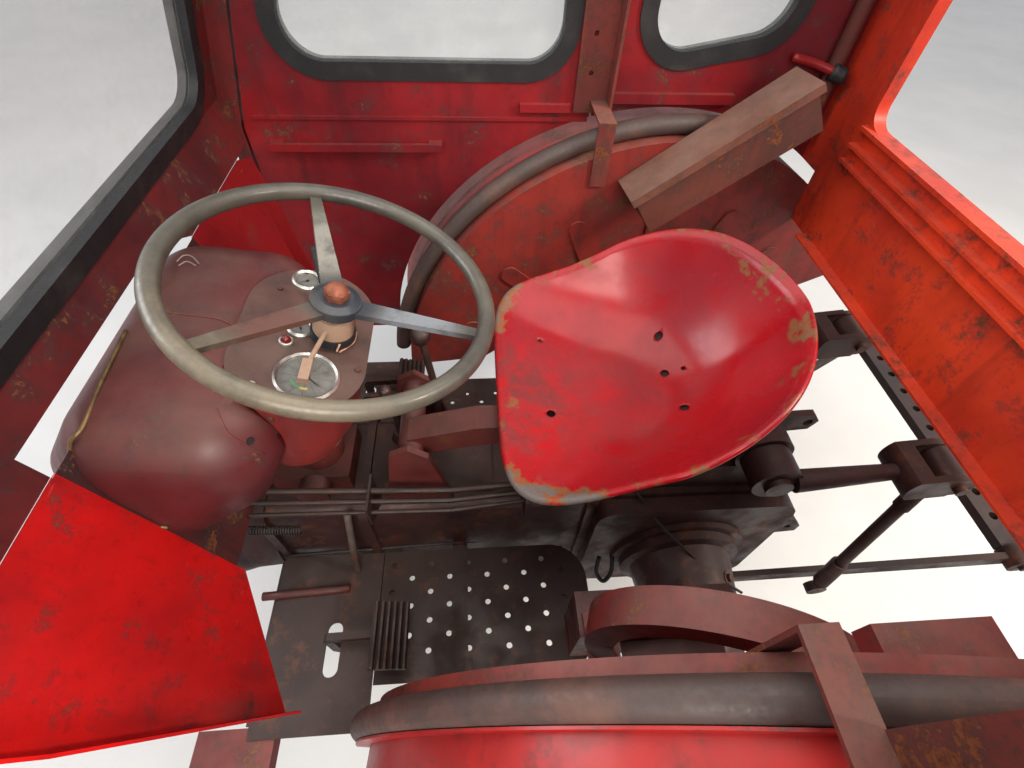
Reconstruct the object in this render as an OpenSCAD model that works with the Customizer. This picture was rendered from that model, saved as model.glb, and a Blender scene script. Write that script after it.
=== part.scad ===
// Operator's station of a vintage farm tractor: cab, seat, controls, rear axle and hitch.
// X points forward, Y to the tractor's left, Z up. The origin is the centre of the
// engine flange face, level with the rear axle.

/* [Driveline] */
// Rear axle behind the engine flange face
axle_back = 1120; // [1040:5:1200]
// Radius of the engine flange
flange_r = 195; // [190:1:215]
// Thickness of the engine flange
flange_t = 18; // [14:1:24]
// Pitch circle diameter of the engine flange bolts
flange_pcd = 366; // [360:1:368]
// Radius of one engine flange bolt hole
flange_hole_r = 6.5; // [5.5:0.5:7.5]
// Number of engine flange bolts
flange_bolts = 8; // [6:1:12]
// Length of the bell housing
bell_l = 230; // [200:5:260]
// Width of the gearbox case
case_w = 224; // [200:2:240]
// Bottom of the gearbox case below the axle line
case_bottom = 165; // [150:5:190]
// Top of the gearbox case above the axle line
case_top = 190; // [170:5:210]
// Half length of the rear axle centre case, fore and aft
centre_half = 210; // [190:5:230]
// Width of the rear axle centre case
centre_w = 300; // [280:5:330]
// Distance between the two hub faces
hub_track = 1330; // [1300:5:1400]
// Radius of a trumpet's outer end
trumpet_r = 62; // [55:1:70]
// Radius of the axle shaft
shaft_r = 34; // [30:1:38]
// Pitch circle diameter of the wheel bolts
bolt_pcd = 203.2; // [190:0.1:210]
// Radius of one wheel bolt hole
bolt_r = 8; // [7:0.5:9]
// Number of wheel bolts
bolt_count = 8; // [6:1:10]
// Radius of the power take-off stub
pto_r = 17.45; // [17:0.05:22]

/* [Fenders] */
// Radius of the fender rim about the axle
fender_r = 640; // [620:5:650]
// Inner face of the fender's inner plate from the centre line
fender_y = 492; // [485:1:500]
// Width of the fender crown
fender_w = 330; // [300:5:360]
// Toe-in of the fenders towards the front
toe = 6; // [0:1:8]
// Fender sheet thickness
sheet = 3; // [2:0.5:4]
// Radius of the rubber tube on the crown
tube_r = 20; // [18:0.5:21]
// Width of the angle that frames the arch, measured up from the crown
arch_h = 27; // [24:1:29]

/* [Footplates] */
// Top of the footplates above the axle line
plate_z = -4; // [-20:1:10]
// Footplate thickness
plate_t = 5; // [4:0.5:8]
// Inner edge of a footplate from the centre line
plate_in = 124; // [122:1:130]
// Outer edge of the rear, perforated footplate
plate_out = 385; // [370:5:400]
// Outer edge of the front footplate
front_plate_out = 460; // [440:5:470]
// Rear end of the perforated footplate
plate_rear = -905; // [-915:5:-880]
// Joint between the front and the perforated footplate
plate_joint = -455; // [-470:5:-440]
// Front end of the front footplate
plate_front = -235; // [-240:5:-225]
// Radius of the footplate holes
plate_hole_r = 6; // [5:0.5:8]

/* [Cab] */
// Inner half width of the cab
cab_half = 590; // [580:5:610]
// Thickness of cab walls and doors
wall_t = 26; // [22:1:30]
// Front wall at the belt line
front_x = -125; // [-140:5:-110]
// Rear wall, inner face
rear_x = -1480; // [-1500:5:-1460]
// Belt line height
belt_z = 680; // [670:5:700]
// Underside of the roof
roof_z = 1420; // [1380:10:1460]
// Crown of the roof above its edge
roof_crown = 60; // [50:5:80]
// Roof overhang past the walls
roof_lip = 35; // [25:5:50]
// Rake of the windscreen from the vertical
rake = 14; // [12:0.5:16]
// Gap all round a closed door
door_gap = 6; // [5:0.5:8]
// Front edge of the doors
door_front = -185; // [-195:5:-180]
// Rear edge of the doors
door_rear = -938; // [-950:1:-930]
// Bottom of the doors above the axle line
door_low = 24; // [10:2:50]
// Height at which the front edge of a door starts to rake
kink_z = 620; // [600:5:640]
// Angle to which the left door stands open
door_open = 100; // [60:5:110]
// Lower edge of the rear wall
rear_low = 440; // [420:5:460]
// Half width of the opening in the rear wall
rear_open_half = 440; // [420:5:460]
// Height of the sill of the opening in the rear wall
rear_sill = 700; // [680:5:720]
// Width of the angle iron pillar
pillar_w = 45; // [40:1:50]
// Radius of the corner tubes
corner_r = 15; // [12:1:18]

/* [Windows] */
// Width of the rubber window seals
seal_w = 34; // [28:1:40]
// Height of a seal's lip over the panel
seal_lip = 4; // [3:0.5:6]
// Glass thickness
glass_t = 5; // [4:0.5:6]
// Depth to which the glass stands in its seal
glass_in = 10; // [8:1:14]
// Corner radius of the glass
glass_r = 70; // [50:5:80]
// Bottom of the door glass
door_glass_z = 752; // [745:1:770]
// Height of the side glass
side_glass_h = 560; // [500:10:570]

/* [Cowl] */
// Half width of the fuel tank cowl
cowl_half = 232; // [220:2:240]
// Top of the cowl
cowl_top = 612; // [590:2:620]
// Bottom of the cowl
cowl_low = 345; // [320:5:360]
// Rear end of the cowl
cowl_rear = -395; // [-405:5:-385]
// Front end of the cowl
cowl_front = -20; // [-30:5:-10]
// Radius of the cowl's shoulders
cowl_r = 85; // [70:5:100]

/* [Panel] */
// Backward tilt of the steering column from the vertical
tilt = 17; // [14:0.5:20]
// Width of the instrument panel across the tractor
panel_w = 300; // [280:5:320]
// Depth of the instrument panel
panel_d = 190; // [180:2:200]
// Thickness of the instrument panel
panel_t = 4; // [3:0.5:6]
// Depth of the housing under the panel
housing_h = 205; // [190:5:215]
// Radius of the large tractor meter
meter_r = 45; // [40:1:48]
// Radius of the small gauges
gauge_r = 24; // [22:1:28]

/* [Steering] */
// Steering wheel radius to the outside of the rim
wheel_r = 228; // [215:1:240]
// Radius of the rim's round section
rim_r = 13; // [11:0.5:15]
// Depth of the hub below the rim
hub_drop = 38; // [20:1:50]
// Steering wheel centre behind the flange face
wheel_x = -486; // [-500:2:-470]
// Steering wheel centre above the axle line
wheel_z = 670; // [650:2:690]
// Radius of the steering shaft
spindle_r = 11; // [9:0.5:13]
// Radius of the column tube
column_r = 21; // [19:1:24]

/* [Seat] */
// Front edge of the seat pan
seat_front = -715; // [-730:5:-705]
// Length of the seat pan
seat_l = 477; // [460:1:490]
// Half width of the seat pan at its widest
seat_half = 244; // [236:2:252]
// Lowest part of the seat pan
seat_z = 414; // [400:2:430]
// Height of the front edge over the lowest part
seat_lip = 17; // [12:1:24]
// Height of the rear rim over the lowest part
seat_back = 208; // [196:2:216]
// Seat pan sheet thickness
seat_t = 4; // [3:0.5:6]

/* [Linkage] */
// Lift shaft behind the axle
lift_back = 80; // [70:5:90]
// Lift shaft height
lift_z = 345; // [338:1:350]
// Lift arm's eye behind the lift shaft
arm_back = 290; // [270:5:310]
// Lift arm's eye above the lift shaft
arm_rise = 35; // [28:1:42]
// Lift arms from the centre line
arm_y = 167; // [160:1:175]
// Front eyes of the lower links from the centre line
link_y = 185; // [180:5:200]
// Front eyes of the lower links above the axle line
link_z = -120; // [-130:5:-115]
// Distance between the rear eyes of the lower links
link_span = 680; // [660:5:700]
// Rear eyes of the lower links behind the front ones
link_back = 625; // [600:5:660]
// Rear eyes of the lower links above the front ones
link_rise = 180; // [160:5:200]
// Swing of the lower links to the right
link_swing = 110; // [0:5:120]
// Radius of the bore in a link eye
link_bore = 11.2; // [10:0.1:12.5]

/* [Hidden] */
$fn = 64;

eps = 0.02;
fit = 0.05;
seat_gap = 0.3;
axle_x = -axle_back;
gearbox_rear = axle_x + centre_half;
arch_r = fender_r + arch_h;
arch_cut_x = axle_x + (cab_half - fender_y) * tan(toe);
arch_cut_r = arch_r / cos(toe) + 1;
hub_y = hub_track / 2;
wheel_c = [wheel_x, 0, wheel_z];

// Y of the left fender plate's inner face at a given X
function plate_y_at(x) = fender_y - (x - axle_x) * tan(toe);
// Left fender and what follows it, toed in at the front
module toed() translate([axle_x, fender_y, 0]) rotate([0, 0, -toe]) translate([-axle_x, -fender_y, 0])
    children();
// Space on the inner side of the left fender plate
module inboard() toed() translate([axle_x - 1000, fender_y - seat_gap - 900, -400]) cube([2000, 900, 1600]);
// Solid extruded along Y from y0, its sketch drawn in X and Z
module along_y(y0, t) translate([0, y0 + t, 0]) rotate([90, 0, 0]) linear_extrude(t) children();
// Solid extruded along X from x0, its sketch drawn in Y and Z
module along_x(x0, t) translate([x0, 0, 0]) rotate([90, 0, 90]) linear_extrude(t) children();
// The same piece on the left and on the right
module both() {
    children();
    mirror([0, 1, 0]) children();
}
// Rounded outline: round corners of radius r about anticlockwise centres
module rounded(pts, r) {
    n = len(pts);
    polygon(pts);
    for (i = [0:n - 1]) {
        a = pts[i];
        b = pts[(i + 1) % n];
        d = (b - a) / norm(b - a);
        out = [d[1], -d[0]] * r;
        translate(a) circle(r);
        polygon([a, b, b + out, a + out]);
    }
}
// The same outline as one piece, for a pane
module pane(pts, r) hull() for (p = pts) translate(p) circle(r, $fn = 48);
// Stadium along X about the origin
module slot(l, w) {
    square([l - w, w], center = true);
    for (s = [-1, 1]) translate([s * (l - w) / 2, 0]) circle(w / 2);
}
// Flat bar between two points, w wide along X and t thick
module flat_bar(a, b, w, t) {
    d = b - a;
    translate(a) rotate([-atan2(d[1], d[2]), 0, 0]) rotate([0, atan2(d[0], norm([d[1], d[2]])), 0])
        translate([-w / 2, -t / 2, 0]) cube([w, t, norm(d)]);
}
// Rounded rectangle about the origin
module rrect(w, h, r) {
    x = w / 2 - r;
    y = h / 2 - r;
    rounded([[-x, -y], [x, -y], [x, y], [-x, y]], r);
}
// Round bar between two points
module bar(a, b, r) {
    d = b - a;
    translate(a) rotate([0, acos(d[2] / norm(d)), atan2(d[1], d[0])]) cylinder(r = r, h = norm(d));
}
// Bar with round ends and joints through a list of points
module bent_bar(pts, r) {
    for (i = [0:len(pts) - 2]) bar(pts[i], pts[i + 1], r);
    for (i = [1:len(pts) - 2]) translate(pts[i]) sphere(r * 1.03);
}
// Children placed in the plane of the steering wheel
module at_wheel() translate(wheel_c) rotate([0, -tilt, 0]) children();

module clutch_housing() color([0.45, 0.12, 0.10]) difference() {
    rotate([0, -90, 0]) rotate_extrude() polygon([
        [0, 105], [118, 105], [148, 70], [148, 0], [flange_r, 0], [flange_r, flange_t],
        [flange_r - 24, flange_t], [160, 60], [135, 160], [130, bell_l], [0, bell_l]]);
    for (i = [0:flange_bolts - 1])
        rotate([i * 360 / flange_bolts + 22.5, 0, 0]) translate([-flange_t - 5, 0, flange_pcd / 2])
            rotate([0, 90, 0]) cylinder(r = flange_hole_r, h = flange_t + 10);
}

lever_x = -590;
lever_y = -52;
lever2 = [-505, -50];
cover_t = 14;
module gearbox_case() color([0.40, 0.11, 0.09]) {
    mid = (case_top - case_bottom) / 2;
    tall = case_top + case_bottom;
    case_l = -bell_l - gearbox_rear;
    along_x(gearbox_rear, case_l) translate([0, mid]) rrect(case_w, tall, 20);
    for (x = [gearbox_rear, -bell_l - 18, -bell_l - case_l * 0.32])
        along_x(x, 18) translate([0, mid]) rrect(case_w + 22, tall + 22, 40);
    translate([lever_x - 110, -80, case_top - eps]) cube([220, 160, cover_t]);
    translate([lever_x, lever_y, case_top]) cylinder(r1 = 28, r2 = 15, h = cover_t + 30);
    translate([lever2[0], lever2[1], case_top]) cylinder(r1 = 24, r2 = 12, h = cover_t + 22);
}

centre_top = 205;
centre_low = 185;
module rear_axle_case() color([0.40, 0.11, 0.09]) difference() {
    union() {
        along_y(-centre_w / 2, centre_w) translate([axle_x, (centre_top - centre_low) / 2])
            rrect(2 * centre_half, centre_top + centre_low, 46);
        along_y(-centre_w / 2 - 12, centre_w + 24) translate([axle_x, 0]) circle(150);
        along_x(gearbox_rear - 16, 16) translate([0, (case_top - case_bottom) / 2])
            rrect(case_w + 22, case_top + case_bottom + 22, 40);
        translate([axle_x - centre_half - 22, 0, pto_z]) rotate([0, 90, 0]) cylinder(r = 48, h = 60);
        // Pins of the lower links
        translate([link_x, -link_y - 22, link_z]) rotate([-90, 0, 0])
            cylinder(r = link_bore - fit, h = 2 * link_y + 44);
    }
    translate([axle_x - centre_half - 30, 0, pto_z]) rotate([0, 90, 0]) cylinder(r = pto_r + 3 + fit, h = 110);
}

pto_z = -70;
stub_l = 74;
lock_at = 34;
lock_w = 7;
module pto_shaft() color([0.42, 0.40, 0.38]) difference() {
    // Splined end, lock groove, plain stretch, and the thicker shaft inside the casing
    translate([axle_x - centre_half - 100, 0, pto_z]) rotate([0, 90, 0]) rotate_extrude() polygon([
        [0, 0], [pto_r, 0], [pto_r, lock_at], [pto_r - 3, lock_at], [pto_r - 3, lock_at + lock_w],
        [pto_r, lock_at + lock_w], [pto_r, stub_l], [pto_r + 3, stub_l], [pto_r + 3, 178], [0, 178]]);
    for (i = [0:5]) translate([axle_x - centre_half - 101, 0, pto_z]) rotate([i * 60, 0, 0])
        translate([0, -2, pto_r - 3]) cube([lock_at + 4, 4, 6]);
}

hub_t = 22;
trumpet_end = hub_y - hub_t - 5;
trumpet_start = centre_w / 2 + 12;
shaft_in = 110;
module axle_trumpets() color([0.38, 0.11, 0.09]) both() translate([axle_x, 0, 0]) difference() {
    rotate([-90, 0, 0]) rotate_extrude() polygon([
        [0, trumpet_start], [132, trumpet_start], [132, trumpet_start + 18],
        [112, trumpet_start + 22], [96, 300], [trumpet_r + 8, 420], [trumpet_r, trumpet_end - 46],
        [80, trumpet_end - 30], [80, trumpet_end], [0, trumpet_end]]);
    rotate([-90, 0, 0]) translate([0, 0, trumpet_end - shaft_in - 10])
        cylinder(r = shaft_r + fit, h = shaft_in + 20);
}

module hub() color([0.36, 0.12, 0.10]) translate([axle_x, 0, 0]) rotate([-90, 0, 0]) difference() {
    rotate_extrude() polygon([
        [0, trumpet_end - shaft_in], [shaft_r, trumpet_end - shaft_in], [shaft_r, hub_y - hub_t],
        [128, hub_y - hub_t], [128, hub_y], [76, hub_y], [70, hub_y + 24], [0, hub_y + 24]]);
    // Holes for the wheel bolts
    for (i = [0:bolt_count - 1]) rotate([0, 0, i * 360 / bolt_count])
        translate([bolt_pcd / 2, 0, hub_y - hub_t - 10]) cylinder(r = bolt_r, h = hub_t + 20);
}
module wheel_hub_l() hub();
module wheel_hub_r() mirror([0, 1, 0]) hub();

lift_x = axle_x - lift_back;
lift_boss = 112;
module lift_cover() color([0.30, 0.10, 0.09]) difference() {
    union() {
        along_y(-104, 208) polygon([
            [axle_x + 175, centre_top], [axle_x + 175, centre_top + 40], [axle_x + 110, centre_top + 78],
            [lift_x + 40, centre_top + 92], [lift_x - 60, centre_top + 92],
            [axle_x - centre_half + 10, centre_top + 30], [axle_x - centre_half + 10, centre_top]]);
        translate([axle_x - centre_half + 4, -118, centre_top]) cube([385, 236, 16]);
        along_y(-lift_boss, 2 * lift_boss) translate([lift_x, lift_z]) circle(52);
        for (y = [-48, 34]) translate([0, y, 0]) along_y(0, 14) polygon([
            [lift_x - 50, lift_z - 20], [lift_x - 118, lift_z - 12], [lift_x - 128, lift_z + 14],
            [lift_x - 112, lift_z + 34], [lift_x - 30, lift_z + 30]]);
    }
    along_y(-lift_boss - 5, 2 * lift_boss + 10) translate([lift_x, lift_z]) circle(26 + fit);
    along_y(-60, 120) translate([lift_x - 108, lift_z + 10]) circle(9.65);
}

arm_x = lift_x - arm_back;
arm_z = lift_z + arm_rise;
arm_deg = atan2(arm_rise, arm_back);
fork_in = 30;
fork_out = 42;
module lift_arm() {
    arm_l = norm([arm_back, arm_rise]);
    // Boss on the end of the lift shaft
    translate([lift_x, lift_boss + 2, lift_z]) rotate([-90, 0, 0]) cylinder(r = 44, h = 58);
    translate([lift_x, lift_boss + 60 - eps, lift_z]) rotate([-90, 0, 0]) cylinder(r = 24, h = 10);
    translate([lift_x, arm_y - 14, lift_z]) rotate([0, 180 + arm_deg, 0]) {
        translate([30, 14, 0]) rotate([0, 90, 0]) cylinder(r1 = 21, r2 = 14, h = arm_l - 100);
        // Forked end
        difference() {
            translate([arm_l - 42, 14, 0]) rotate([90, 0, 0]) translate([0, 0, -fork_out])
                linear_extrude(2 * fork_out) circle(46);
            translate([arm_l - 30, 14 - fork_in, -60]) cube([120, 2 * fork_in, 120]);
            translate([arm_l - 38, 14, 0]) rotate([90, 0, 0]) translate([0, 0, -fork_in])
                linear_extrude(2 * fork_in) circle(32);
            translate([arm_l - 100, -60, 30]) cube([140, 150, 30]);
            translate([arm_l - 100, -60, -60]) cube([140, 150, 30]);
        }
        translate([arm_l, 14, 0]) rotate([90, 0, 0]) for (s = [-fork_out, fork_in])
            translate([0, 0, s]) cylinder(r = 26, h = fork_out - fork_in);
    }
}
module lift_arms() color([0.28, 0.10, 0.09]) {
    both() difference() {
        lift_arm();
        translate([arm_x, arm_y - 60, arm_z]) rotate([-90, 0, 0]) cylinder(r = 10 + fit, h = 120);
    }
    translate([lift_x, -lift_boss - 20, lift_z]) rotate([-90, 0, 0]) cylinder(r = 26, h = 2 * lift_boss + 40);
}

link_x = lift_x - 40;
// Point on the centre line of a lower link, t from 0 at its front eye to 1 at its rear eye
function link_point(side, t) = [link_x - t * link_back,
    side * link_y + t * (side * (link_span / 2 - link_y) - link_swing), link_z + t * link_rise];
rod_t = 0.34;
rod_out = 36;
module lift_rod(side) {
    top = [arm_x, side * arm_y, arm_z];
    foot = link_point(side, rod_t) + [0, side * rod_out, 0];
    dir = (foot - top) / norm(foot - top);
    l = norm(foot - top);
    // Barrel and brass-tipped pin through the arm's fork
    translate([top[0], top[1] - fork_in + 1, top[2]]) rotate([-90, 0, 0]) cylinder(r = 24, h = 2 * fork_in - 2);
    translate([top[0], top[1] - 52, top[2]]) rotate([-90, 0, 0]) cylinder(r = 10, h = 104);
    bar(top + dir * 20, top + dir * 120, 15);
    bar(top + dir * 110, top + dir * (l - 70), 12);
    bar(top + dir * (l - 110), top + dir * (l - 28), 17);
    translate([foot[0], foot[1] - 10, foot[2]]) rotate([-90, 0, 0]) cylinder(r = 22, h = 20);
    bar(top + dir * (l - 60), top + dir * (l - 4), 12);
}
module lift_rods() color([0.27, 0.10, 0.09]) for (side = [-1, 1]) lift_rod(side);

module lower_link(side) {
    a = link_point(side, 0);
    b = link_point(side, 1);
    slope = atan2(b[2] - a[2], norm([b[0] - a[0], b[1] - a[1]]));
    turn = atan2(b[1] - a[1], b[0] - a[0]);
    l = norm(b - a);
    difference() {
        union() {
            translate(a) rotate([0, -slope, turn]) translate([22, -7, -18]) cube([l - 44, 14, 36]);
            for (p = [a, b]) translate([p[0], p[1] - 21, p[2]]) rotate([-90, 90, 0]) cylinder(r = 31, h = 42);
        }
        for (p = [a, b]) translate([p[0], p[1] - 30, p[2]]) rotate([-90, 90, 0]) cylinder(r = link_bore, h = 60);
    }
}
module lower_links() color([0.30, 0.11, 0.10]) for (side = [-1, 1]) lower_link(side);

bar_half = link_span / 2 - 22;
module drawbar() color([0.22, 0.10, 0.09]) difference() {
    union() {
        translate([link_x - link_back - 30, -link_swing - bar_half, link_z + link_rise - 12])
            cube([60, 2 * bar_half, 24]);
        for (s = [-1, 1]) translate([link_x - link_back, s * bar_half - link_swing - (s > 0 ? eps : 50),
            link_z + link_rise]) rotate([-90, 0, 0]) cylinder(r = link_bore - fit, h = 50 + eps);
    }
    for (i = [-4:4]) translate([link_x - link_back, i * 62 - link_swing, link_z + link_rise - 20])
        cylinder(r = 9.5, h = 40);
}

module top_link_bracket() color([0.14, 0.13, 0.13]) {
    // Perforated hitch frame on the back of the axle case
    for (s = [-1, 1]) difference() {
        translate([0, s > 0 ? 60 : -72, 0]) along_y(0, 12) polygon([
            [axle_x - centre_half - 46, -20], [axle_x - centre_half - 150, -60], [axle_x - centre_half - 178, -96],
            [axle_x - centre_half - 178, -126], [axle_x - centre_half, -150], [axle_x - centre_half, 40]]);
        for (i = [0:2]) translate([axle_x - centre_half - 60 - i * 42, s * 66 - 20, -78 - i * 10])
            rotate([-90, 0, 0]) cylinder(r = 9, h = 40);
    }
    translate([axle_x - centre_half - 178, -72, -126]) cube([14, 144, 26]);
}

box_y0 = 300;
box_y1 = 372;
box_top = 232;
module fender_brackets() color([0.28, 0.10, 0.08]) both() {
    // Box bracket across the trumpet, its front and rear walls bolted to the axle
    difference() {
        translate([axle_x + 10, box_y0, 80]) cube([278, box_y1 - box_y0, box_top - 80]);
        translate([axle_x + 18, box_y0 + 8, 70]) cube([262, box_y1 - box_y0 - 16, box_top - 78]);
        along_y(box_y0 - 10, box_y1 - box_y0 + 20) translate([axle_x, 0]) circle(101);
    }
    intersection() {
        translate([axle_x + 30, box_y1 - eps, box_top - 60]) cube([180, fender_y - box_y1 + 20, 8]);
        inboard();
    }
}

fender_low = 110;
fender_a0 = 2;
fender_a1 = 157;
// Sweep of a sketch in radius and Y about the axle, from angle a0 to a1
module round_axle(a0, a1) translate([axle_x, 0, 0]) rotate([90, 0, 0]) rotate([0, 0, a0])
    rotate_extrude(angle = a1 - a0) mirror([0, 1]) children();
module fender() {
    along_y(fender_y, sheet) translate([axle_x, 0]) intersection() {
        circle(fender_r - sheet / 2);
        polygon([[fender_r, 22], [fender_r, fender_r], [-fender_r, fender_r], [-fender_r, 250],
            [-300, fender_low], [300, fender_low], [430, 22]]);
    }
    round_axle(fender_a0, fender_a1) {
        translate([fender_r - sheet, fender_y]) square([sheet, fender_w]);
        translate([fender_r - 7, fender_y + fender_w - 3]) circle(7);
    }
    // Pressed ribs
    for (i = [0:5]) translate([axle_x, 0, 0]) rotate([0, -18 - i * 24, 0]) translate([430, fender_y, 0])
        rotate([90, 0, 0]) translate([0, 0, -sheet / 2]) linear_extrude(5 + sheet / 2) slot(150, 44);
}
module fenders() color([0.55, 0.10, 0.10]) both() toed() fender();

arch_a0 = 6;
arch_a1 = 112;
tube_y = fender_y + 20 + tube_r;
frame_y = tube_y + tube_r + seat_gap;
module arch_frames() color([0.45, 0.10, 0.10]) both() intersection() {
    toed() round_axle(arch_a0, arch_a1) {
        translate([fender_r + seat_gap, frame_y]) square([arch_h - 2 * seat_gap, sheet]);
        translate([fender_r + seat_gap, frame_y]) square([sheet, 130]);
    }
    // The flange stops short of the doors and panels
    translate([-2000, 0, 0]) cube([1800, cab_half - door_gap, 1000]);
}
module arch_seals() color([0.30, 0.27, 0.25]) both() toed() round_axle(arch_a0, arch_a1)
    translate([fender_r + seat_gap + tube_r, tube_y]) circle(tube_r);

strap_c = [-1000, 433, 350];
strap_r = 183;
strap_w = 48;
strap_a0 = -40;
strap_a1 = 142;
strap_turn = 19;
module fender_strap() color([0.62, 0.20, 0.12]) intersection() {
    union() {
        intersection() {
            translate(strap_c) rotate([0, 0, -strap_turn]) rotate([90, 0, 0]) rotate([0, 0, strap_a0])
                rotate_extrude(angle = strap_a1 - strap_a0) mirror([0, 1]) {
                    translate([strap_r - 5, -strap_w / 2]) square([5, strap_w]);
                    translate([strap_r - 42, strap_w / 2 - 5]) square([42, 5]);
                }
            translate([0, -5.4, 0]) inboard();
        }
        // Foot on the bracket box
        translate([-892, 336, box_top + seat_gap]) cube([52, 76, 6]);
        translate([-876, 368, box_top + seat_gap]) cube([12, 44, 34]);
        // Foot box on the fender plate
        translate([-1190, 452, 566]) cube([130, 60, 34]);
    }
    inboard();
}

hole_step = 41.3;
hole_pitch = 58;
module perforated_plate() difference() {
    linear_extrude(plate_t) difference() {
        translate([plate_rear, plate_in]) union() {
            translate([80, 0]) square([plate_joint - plate_rear - 80, plate_out - plate_in]);
            translate([0, 80]) square([81, plate_out - plate_in - 160]);
            for (y = [80, plate_out - plate_in - 80]) translate([80, y]) circle(80);
        }
        // Staggered columns of holes, four and three in turn
        for (i = [0:9], j = [0:3]) if (i % 2 == 1 || j < 3) translate([plate_rear + 56 + i * hole_step,
            plate_in + (i % 2 == 1 ? 32 : 60) + j * hole_pitch]) circle(plate_hole_r);
    }
}
module footplates() color([0.10, 0.07, 0.06]) both() translate([0, 0, plate_z - plate_t]) {
    perforated_plate();
    linear_extrude(plate_t) difference() {
        translate([plate_joint + 2, plate_in]) square([plate_front - plate_joint - 2, front_plate_out - plate_in]);
        hull() {
            translate([-368, 282]) circle(15);
            translate([-368, 352]) circle(15);
        }
    }
}
bearer_x = [-860, -640, -486, -262];
bearer_h = 30;
module footplate_brackets() color([0.16, 0.08, 0.07]) both() for (i = [0:3])
    translate([bearer_x[i], case_w / 2 + (i == 0 ? 14 : 0) - (i == 3 ? -18 : 0), plate_z - plate_t - bearer_h])
        difference() {
            cube([34, (i == 3 ? front_plate_out - 20 : plate_out - 30) - case_w / 2 - 20, bearer_h]);
            translate([5, -1, -1]) cube([40, 400, bearer_h - 4]);
        }

tan_rake = tan(rake);
roof_front = front_x - (roof_z - belt_z) * tan_rake;
function front_at(z) = front_x - abs(z - belt_z) * tan_rake;
function door_edge(z) = z <= kink_z ? door_front : door_front - (z - kink_z) * tan_rake;
// Children drawn in Y and height in the raked plane above the belt, t thick behind it
module above_belt(t, back = 0) translate([front_x, 0, belt_z]) rotate([0, -rake, 0])
    along_x(-back - t, t) children();
module below_belt(t, back = 0) translate([front_x, 0, belt_z]) rotate([0, rake, 0])
    along_x(-back - t, t) children();

strip_low = 580;
shield_t = 3;
function down(z) = -(belt_z - z) / cos(rake);
shield_top = down(strip_low) - 0.6;
module leg_shields() color([0.85, 0.03, 0.02]) both() {
    below_belt(shield_t, wall_t) polygon([
        [cowl_half + 4, shield_top], [cowl_half + 3, down(231)], [425, down(37)],
        [500, down(468)], [512, shield_top]]);
    // Folded jamb flange along the outer edge
    below_belt(34, wall_t) polygon([[425, down(37)], [429, down(36)], [504, down(468)],
        [516, shield_top], [512, shield_top], [500, down(468)]]);
}

screen_half = 500;
screen_low = 42;
screen_h = (roof_z - belt_z) / cos(rake) - 74;
screen_r = 50;
screen_pts = [[-screen_half + screen_r, screen_low + screen_r], [screen_half - screen_r, screen_low + screen_r],
    [screen_half - screen_r, screen_h - screen_r], [-screen_half + screen_r, screen_h - screen_r]];
module windscreen() color([0.75, 0.82, 0.82, 0.35])
    above_belt(glass_t, (wall_t - glass_t) / 2) pane(screen_pts, screen_r + glass_in - 1);
module seal_ring(pts, r) difference() {
    rounded(pts, r + seal_w / 2);
    rounded(pts, r);
}
module windscreen_seal() color([0.09, 0.09, 0.08]) difference() {
    union() {
        above_belt(wall_t) seal_ring(screen_pts, screen_r);
        for (b = [-seal_lip, wall_t]) above_belt(seal_lip, b) difference() {
            rounded(screen_pts, screen_r + seal_w);
            rounded(screen_pts, screen_r);
        }
    }
    above_belt(glass_t, (wall_t - glass_t) / 2) rounded(screen_pts, screen_r + glass_in);
}
module front_wall() color([0.50, 0.08, 0.07]) {
    difference() {
        union() {
            above_belt(wall_t) difference() {
                translate([-cab_half - wall_t, 0]) square([2 * (cab_half + wall_t), 900]);
                rounded(screen_pts, screen_r + seal_w / 2);
            }
            below_belt(wall_t) difference() {
                translate([-cab_half - wall_t, down(strip_low)])
                    square([2 * (cab_half + wall_t), -down(strip_low)]);
                translate([-cowl_half - 9, down(strip_low) - 1]) square([2 * cowl_half + 18, 44]);
            }
        }
        translate([-900, -800, roof_z]) cube([1000, 1600, 300]);
    }
    // Door posts
    both() along_y(cab_half, wall_t) polygon([
        [door_edge(roof_z) + door_gap, roof_z], [door_front + door_gap, kink_z],
        [door_front + door_gap, door_low], [door_front + door_gap + 34, door_low],
        [door_front + door_gap + 34, strip_low - 50], [front_at(600) - 8, 600], [front_at(belt_z) - 8, belt_z],
        [front_at(roof_z) - 8, roof_z]]);
    // Outriggers from the front footplates to the posts
    both() translate([plate_front - 50, front_plate_out - 20, plate_z - plate_t - seat_gap - 34])
        cube([door_front + door_gap + 34 - plate_front + 50, cab_half + wall_t - front_plate_out + 20, 34]);
    both() translate([door_front + door_gap, cab_half, plate_z - plate_t - 1]) cube([34, wall_t, door_low - plate_z + plate_t + 2]);
}

side_top = door_glass_z + side_glass_h;
door_pts = [[-864 + glass_r, door_glass_z + glass_r], [door_edge(door_glass_z) - 100 - glass_r, door_glass_z + glass_r],
    [door_edge(side_top) - 80 - glass_r, side_top - glass_r], [-864 + glass_r, side_top - glass_r]];
quarter_z = door_glass_z + 27;
quarter_pts = [[-1316 + glass_r, quarter_z + glass_r + 25], [-1044 - glass_r, quarter_z + glass_r],
    [-1044 - glass_r, side_top - glass_r], [-1292 + glass_r, side_top - glass_r]];
module side_seal(pts) difference() {
    union() {
        along_y(cab_half, wall_t) seal_ring(pts, glass_r);
        for (y = [cab_half - seal_lip, cab_half + wall_t]) along_y(y, seal_lip) difference() {
            rounded(pts, glass_r + seal_w);
            rounded(pts, glass_r);
        }
    }
    along_y(cab_half + (wall_t - glass_t) / 2, glass_t) rounded(pts, glass_r + glass_in);
}
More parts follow.
